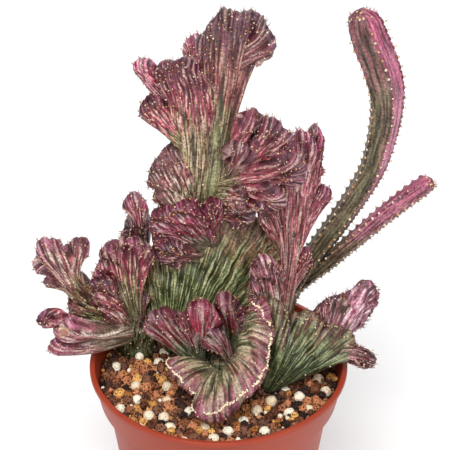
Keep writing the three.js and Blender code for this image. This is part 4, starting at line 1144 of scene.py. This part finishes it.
def shifted(tree, value, texture_value, amount):
    """A value moved up and down by a texture round its middle."""
    offset = product(tree, calculate(tree, "SUBTRACT", texture_value, 0.5), amount)
    return calculate(tree, "ADD", value, offset)


def between(tree, value, low, high, start=0.0, end=1.0):
    """A smooth step from start at low to end at high."""
    sockets = {"Value": value, "From Min": low, "From Max": high, "To Min": start, "To Max": end}
    return add(tree, "ShaderNodeMapRange", sockets, interpolation_type="SMOOTHSTEP").outputs[0]


def attribute(tree, name, output="Fac"):
    return add(tree, "ShaderNodeAttribute", attribute_name=name).outputs[output]


def object_place(tree):
    return add(tree, "ShaderNodeTexCoord").outputs["Object"]


def texture(tree, scale, detail=3.0, roughness=0.5, vector=None):
    """Noise in the space of the object, or over the places given."""
    if vector is None:
        vector = object_place(tree)
    sockets = {"Scale": scale, "Detail": detail, "Roughness": roughness, "Vector": vector}
    return add(tree, "ShaderNodeTexNoise", sockets).outputs["Fac"]


def new_material(name):
    """A material, its node tree and its shader."""
    material = bpy.data.materials.new(name)
    material.use_nodes = True
    tree = material.node_tree
    return material, tree, tree.nodes["Principled BSDF"]


def set_shader(tree, shader, color, bump=None, bump_height=0.0002, **values):
    """Links the colour and the relief, and sets the other sockets by their names."""
    tree.links.new(color, shader.inputs["Base Color"])
    for name, value in values.items():
        shader.inputs[name.replace("_", " ")].default_value = value
    if bump is not None:
        normal = add(tree, "ShaderNodeBump", {"Height": bump, "Distance": bump_height, "Strength": 1.0})
        tree.links.new(normal.outputs[0], shader.inputs["Normal"])


def streaks(tree, wide, long, scale=1.0):
    """Noise that is drawn out along the ribs."""
    place = add(tree, "ShaderNodeCombineXYZ", {
        "X": product(tree, attribute(tree, "across"), wide),
        "Y": product(tree, attribute(tree, "along"), long),
    }).outputs[0]
    return texture(tree, scale, detail=2.0, vector=place)


def skin_tones(tree, growth, fine):
    """The tones from the foot to the growing line, varied by random streaks, with painted shade in the
    valleys of the broad folds, painted light on their tops, and crimson stripes.
    """
    blotch = texture(tree, 90.0, detail=4.0, roughness=0.6)
    moved = shifted(tree, attribute(tree, "blush"), streaks(tree, 0.5, 0.06), 2.2)
    moved = shifted(tree, moved, blotch, 0.9)
    color = blend(tree, between(tree, moved, 0.2, 0.8), attribute(tree, "low_tone", "Color"),
                  attribute(tree, "high_tone", "Color"))
    tip = between(tree, shifted(tree, growth, fine, 0.6), 0.76, 0.97, end=0.85)
    color = blend(tree, tip, color, attribute(tree, "tip_tone", "Color"))
    color = times(tree, color, between(tree, fine, 0.34, 0.66, start=0.34, end=1.62))
    # Painted shade in the valleys of the broad folds, and painted light on their tops
    color = times(tree, color, between(tree, attribute(tree, "fold"), 0.05, 0.6, start=0.55, end=1.08))
    stripes = between(tree, streaks(tree, 0.6, 0.08, 1.3), 0.5, 0.66, end=0.7)
    crimson = product(tree, stripes, between(tree, moved, 0.4, 0.9))
    return blend(tree, crimson, color, linear(120, 36, 54))


def rib_marks(tree, color, growth):
    """Red dashes by the tubercles, partly painted shade; painted shade on the ribs' flanks and in the
    grooves; and pale veins on the ribs' tops.
    """
    rib = attribute(tree, "rib")
    knob = attribute(tree, "knob")
    flecks = streaks(tree, 1.0, 0.22)
    # Red dashes at the tubercles: the flesh's own red marks, with painted shade by each tubercle
    dash = product(tree, between(tree, knob, 0.1, 0.8, start=0.35), between(tree, rib, 0.25, 0.6),
                   between(tree, flecks, 0.56, 0.42))
    color = stain_and_shade(tree, color, dash, 170, 84, 96)
    # Painted shade on the lower flanks of the ribs
    color = stain_and_shade(tree, color, between(tree, rib, 0.3, 0.75, start=0.8, end=0.0), 186, 168, 172)
    # Painted shade in the grooves between the ribs, broken by streaks
    painted_groove_shade = product(tree, between(tree, rib, 0.08, 0.42, start=0.9, end=0.0),
                    between(tree, flecks, 0.36, 0.6, start=1.0, end=0.3))
    color = stain_and_shade(tree, color, painted_groove_shade, 132, 110, 116)
    vein = product(tree, between(tree, rib, 0.5, 0.85), between(tree, flecks, 0.46, 0.62),
                   between(tree, knob, 0.85, 0.3, start=0.6, end=0.95),
                   between(tree, growth, 0.75, 1.0, start=0.85, end=0.45),
                   between(tree, growth, 0.1, 0.5, start=0.45))
    return blend(tree, vein, color, attribute(tree, "vein_tone", "Color"))


def flesh_material():
    """Marbled skin: tones along the growth, painted shade in the grooves and folds, pale veins and streaks
    that follow the ribs.
    """
    material, tree, shader = new_material("cactus_flesh")
    growth = attribute(tree, "growth")
    fine = streaks(tree, 0.75, 0.14)
    grain = texture(tree, 900.0, roughness=0.6)
    color = rib_marks(tree, skin_tones(tree, growth, fine), growth)
    color = times(tree, color, between(tree, grain, 0.36, 0.64, start=0.62, end=1.42))
    height = calculate(tree, "ADD", fine, product(tree, grain, 0.35))
    set_shader(tree, shader, color, height, 0.0007, Roughness=0.4, Specular_IOR_Level=0.4)
    return material


def tone_material(name, dark, light, roughness, scale=1500.0):
    """A plain small thing whose colour varies from one to the next and over each."""
    material, tree, shader = new_material(name)
    speckle = texture(tree, scale)
    share = between(tree, shifted(tree, attribute(tree, "tone"), speckle, 0.6), 0.0, 1.0)
    color = blend(tree, share, linear(*dark), linear(*light))
    set_shader(tree, shader, color, speckle, 0.00008, Roughness=roughness)
    return material


def stone_material(name, dark, light, pit_tone, pit_share, bump_height):
    """Porous stone: patches of two tones, with a dark pit in the middle of each cell, which paints shade in
    the pores.
    """
    material, tree, shader = new_material(name)
    patches = texture(tree, 420.0, detail=4.0, roughness=0.65)
    sockets = {"Vector": object_place(tree), "Scale": 680.0}
    cells = add(tree, "ShaderNodeTexVoronoi", sockets).outputs["Distance"]
    share = calculate(tree, "ADD", product(tree, attribute(tree, "tone"), 0.7), product(tree, patches, 0.6))
    color = blend(tree, between(tree, share, 0.25, 0.95), linear(*dark), linear(*light))
    # Painted shade in the pores, which on pumice are also its own brown specks
    pits = between(tree, cells, 0.18, 0.38, start=pit_share, end=0.0)
    color = blend(tree, pits, color, linear(*pit_tone))
    height = calculate(tree, "ADD", cells, patches)
    set_shader(tree, shader, color, height, bump_height, Roughness=0.85, Specular_IOR_Level=0.3)
    return material


def pot_material():
    """Terracotta-coloured plastic with a fine grain and a faint waviness from the mould."""
    material, tree, shader = new_material("terracotta_plastic")
    grain = texture(tree, 2600.0, detail=2.0)
    cloud = texture(tree, 28.0)
    color = blend(tree, between(tree, cloud, 0.3, 0.7), linear(149, 53, 29), linear(161, 61, 36))
    color = blend(tree, between(tree, grain, 0.3, 0.7, end=0.18), color, linear(142, 56, 40))
    set_shader(tree, shader, color, grain, 0.00005, Roughness=0.48, Specular_IOR_Level=0.32)
    return material


def bed_material():
    """Dark crumbly earth."""
    material, tree, shader = new_material("substrate_bed")
    patches = texture(tree, 500.0, detail=5.0, roughness=0.7)
    color = blend(tree, between(tree, patches, 0.3, 0.7), linear(38, 22, 18), linear(92, 54, 38))
    set_shader(tree, shader, color, patches, 0.001, Roughness=0.95, Specular_IOR_Level=0.2)
    return material


def keep(piece, node):
    """Declares a piece that shows a node of the CAD part. Nothing moves, so all of them ride the root."""
    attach(piece, "root")
    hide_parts(node)


def grow_stem(stem, skin, tufts, needles):
    """One crest or column, with its areoles, its spines and the wool on its growing line."""
    if isinstance(stem, Column):
        column_mesh(skin, stem)
        places, out, v = column_areoles(stem)
        areole_mesh(tufts, places, out, COLUMN_AREOLE_SCALE)
        spine_mesh(needles, places, out, v)
        return
    crest_mesh(skin, stem)
    places, out, v = crest_areoles(stem)
    areole_mesh(tufts, places, out)
    spine_mesh(needles, places, out, v)
    if stem.wool:
        wool_mesh(tufts, stem)


def grow_plant(flesh, wool, needle):
    """Every stem of the plant. Returns the places low on the flesh, which the grains stay clear of."""
    low = []
    for node, stems in PLANT.items():
        skin, tufts, needles = Mesh(), Mesh(), Mesh()
        for stem in stems:
            grow_stem(stem, skin, tufts, needles)
        points = np.vstack(skin.places)
        low.append(points[points[:, 2] < POT_HEIGHT + 2])
        keep(skin.build(f"{node}_flesh", flesh), node)
        keep(tufts.build(f"{node}_areoles", wool), node)
        keep(needles.build(f"{node}_spines", needle), node)
    return np.vstack(low)


def grow_scar(cork):
    """The healed cut on the upper finger over the rim."""
    finger = next(crest for crest in PLANT["crest_left"] if crest.name == "rim_finger")
    mesh = Mesh()
    scar_mesh(mesh, finger)
    keep(mesh.build("crest_left_scar", cork), "crest_left")


def make_floor():
    """A wide pale floor."""
    bpy.ops.mesh.primitive_plane_add(size=FLOOR_SIZE)
    floor = bpy.context.object
    floor.name = "floor"
    material, tree, shader = new_material("pale_floor")
    cloud = texture(tree, 3.0)
    color = blend(tree, between(tree, cloud, 0.3, 0.7), (0.93, 0.93, 0.93, 1), (0.95, 0.95, 0.95, 1))
    set_shader(tree, shader, color, Roughness=0.9)
    floor.data.materials.append(material)


def make_lights():
    """An even white surround and three soft lights."""
    world = bpy.data.worlds.new("studio")
    world.use_nodes = True
    background = world.node_tree.nodes["Background"]
    background.inputs["Color"].default_value = (1, 1, 1, 1)
    background.inputs["Strength"].default_value = WORLD_STRENGTH
    bpy.context.scene.world = world
    for name, place, size, power in LIGHTS:
        lamp = bpy.data.lights.new(name, "AREA")
        lamp.size = size
        lamp.energy = power
        light = link(name, lamp)
        light.location = place
        light.rotation_euler = (Vector(LIGHT_AIM) - Vector(place)).to_track_quat("-Z", "Y").to_euler()


def make_camera():
    """The photograph's camera, with plain colours."""
    lens = bpy.data.cameras.new("camera")
    lens.lens = CAMERA_LENS
    lens.sensor_width = 36
    camera = link("camera", lens)
    camera.location = Vector(CAMERA_PLACE) * MM
    camera.rotation_euler = (math.radians(CAMERA_TILT), 0, 0)
    bpy.context.scene.camera = camera
    bpy.context.scene.view_settings.view_transform = "Standard"
    bpy.context.scene.view_settings.look = "None"


make_floor()
make_lights()
make_camera()
areole_wool = tone_material("areole_wool", (196, 150, 96), (246, 232, 200), 0.9)
spine_needle = tone_material("spine_needle", (150, 74, 46), (100, 38, 28), 0.5)
low_flesh = grow_plant(flesh_material(), areole_wool, spine_needle)
grow_scar(tone_material("scar_cork", (146, 98, 92), (212, 188, 150), 0.8, scale=700.0))
keep(make_pot(pot_material()), "pot")
keep(make_bed(bed_material()), "substrate")
stone_materials = {kind: stone_material(kind, *looks) for kind, looks in GRAIN_LOOKS.items()}
for grains in make_stones(low_flesh, stone_materials):
    keep(grains, "substrate")
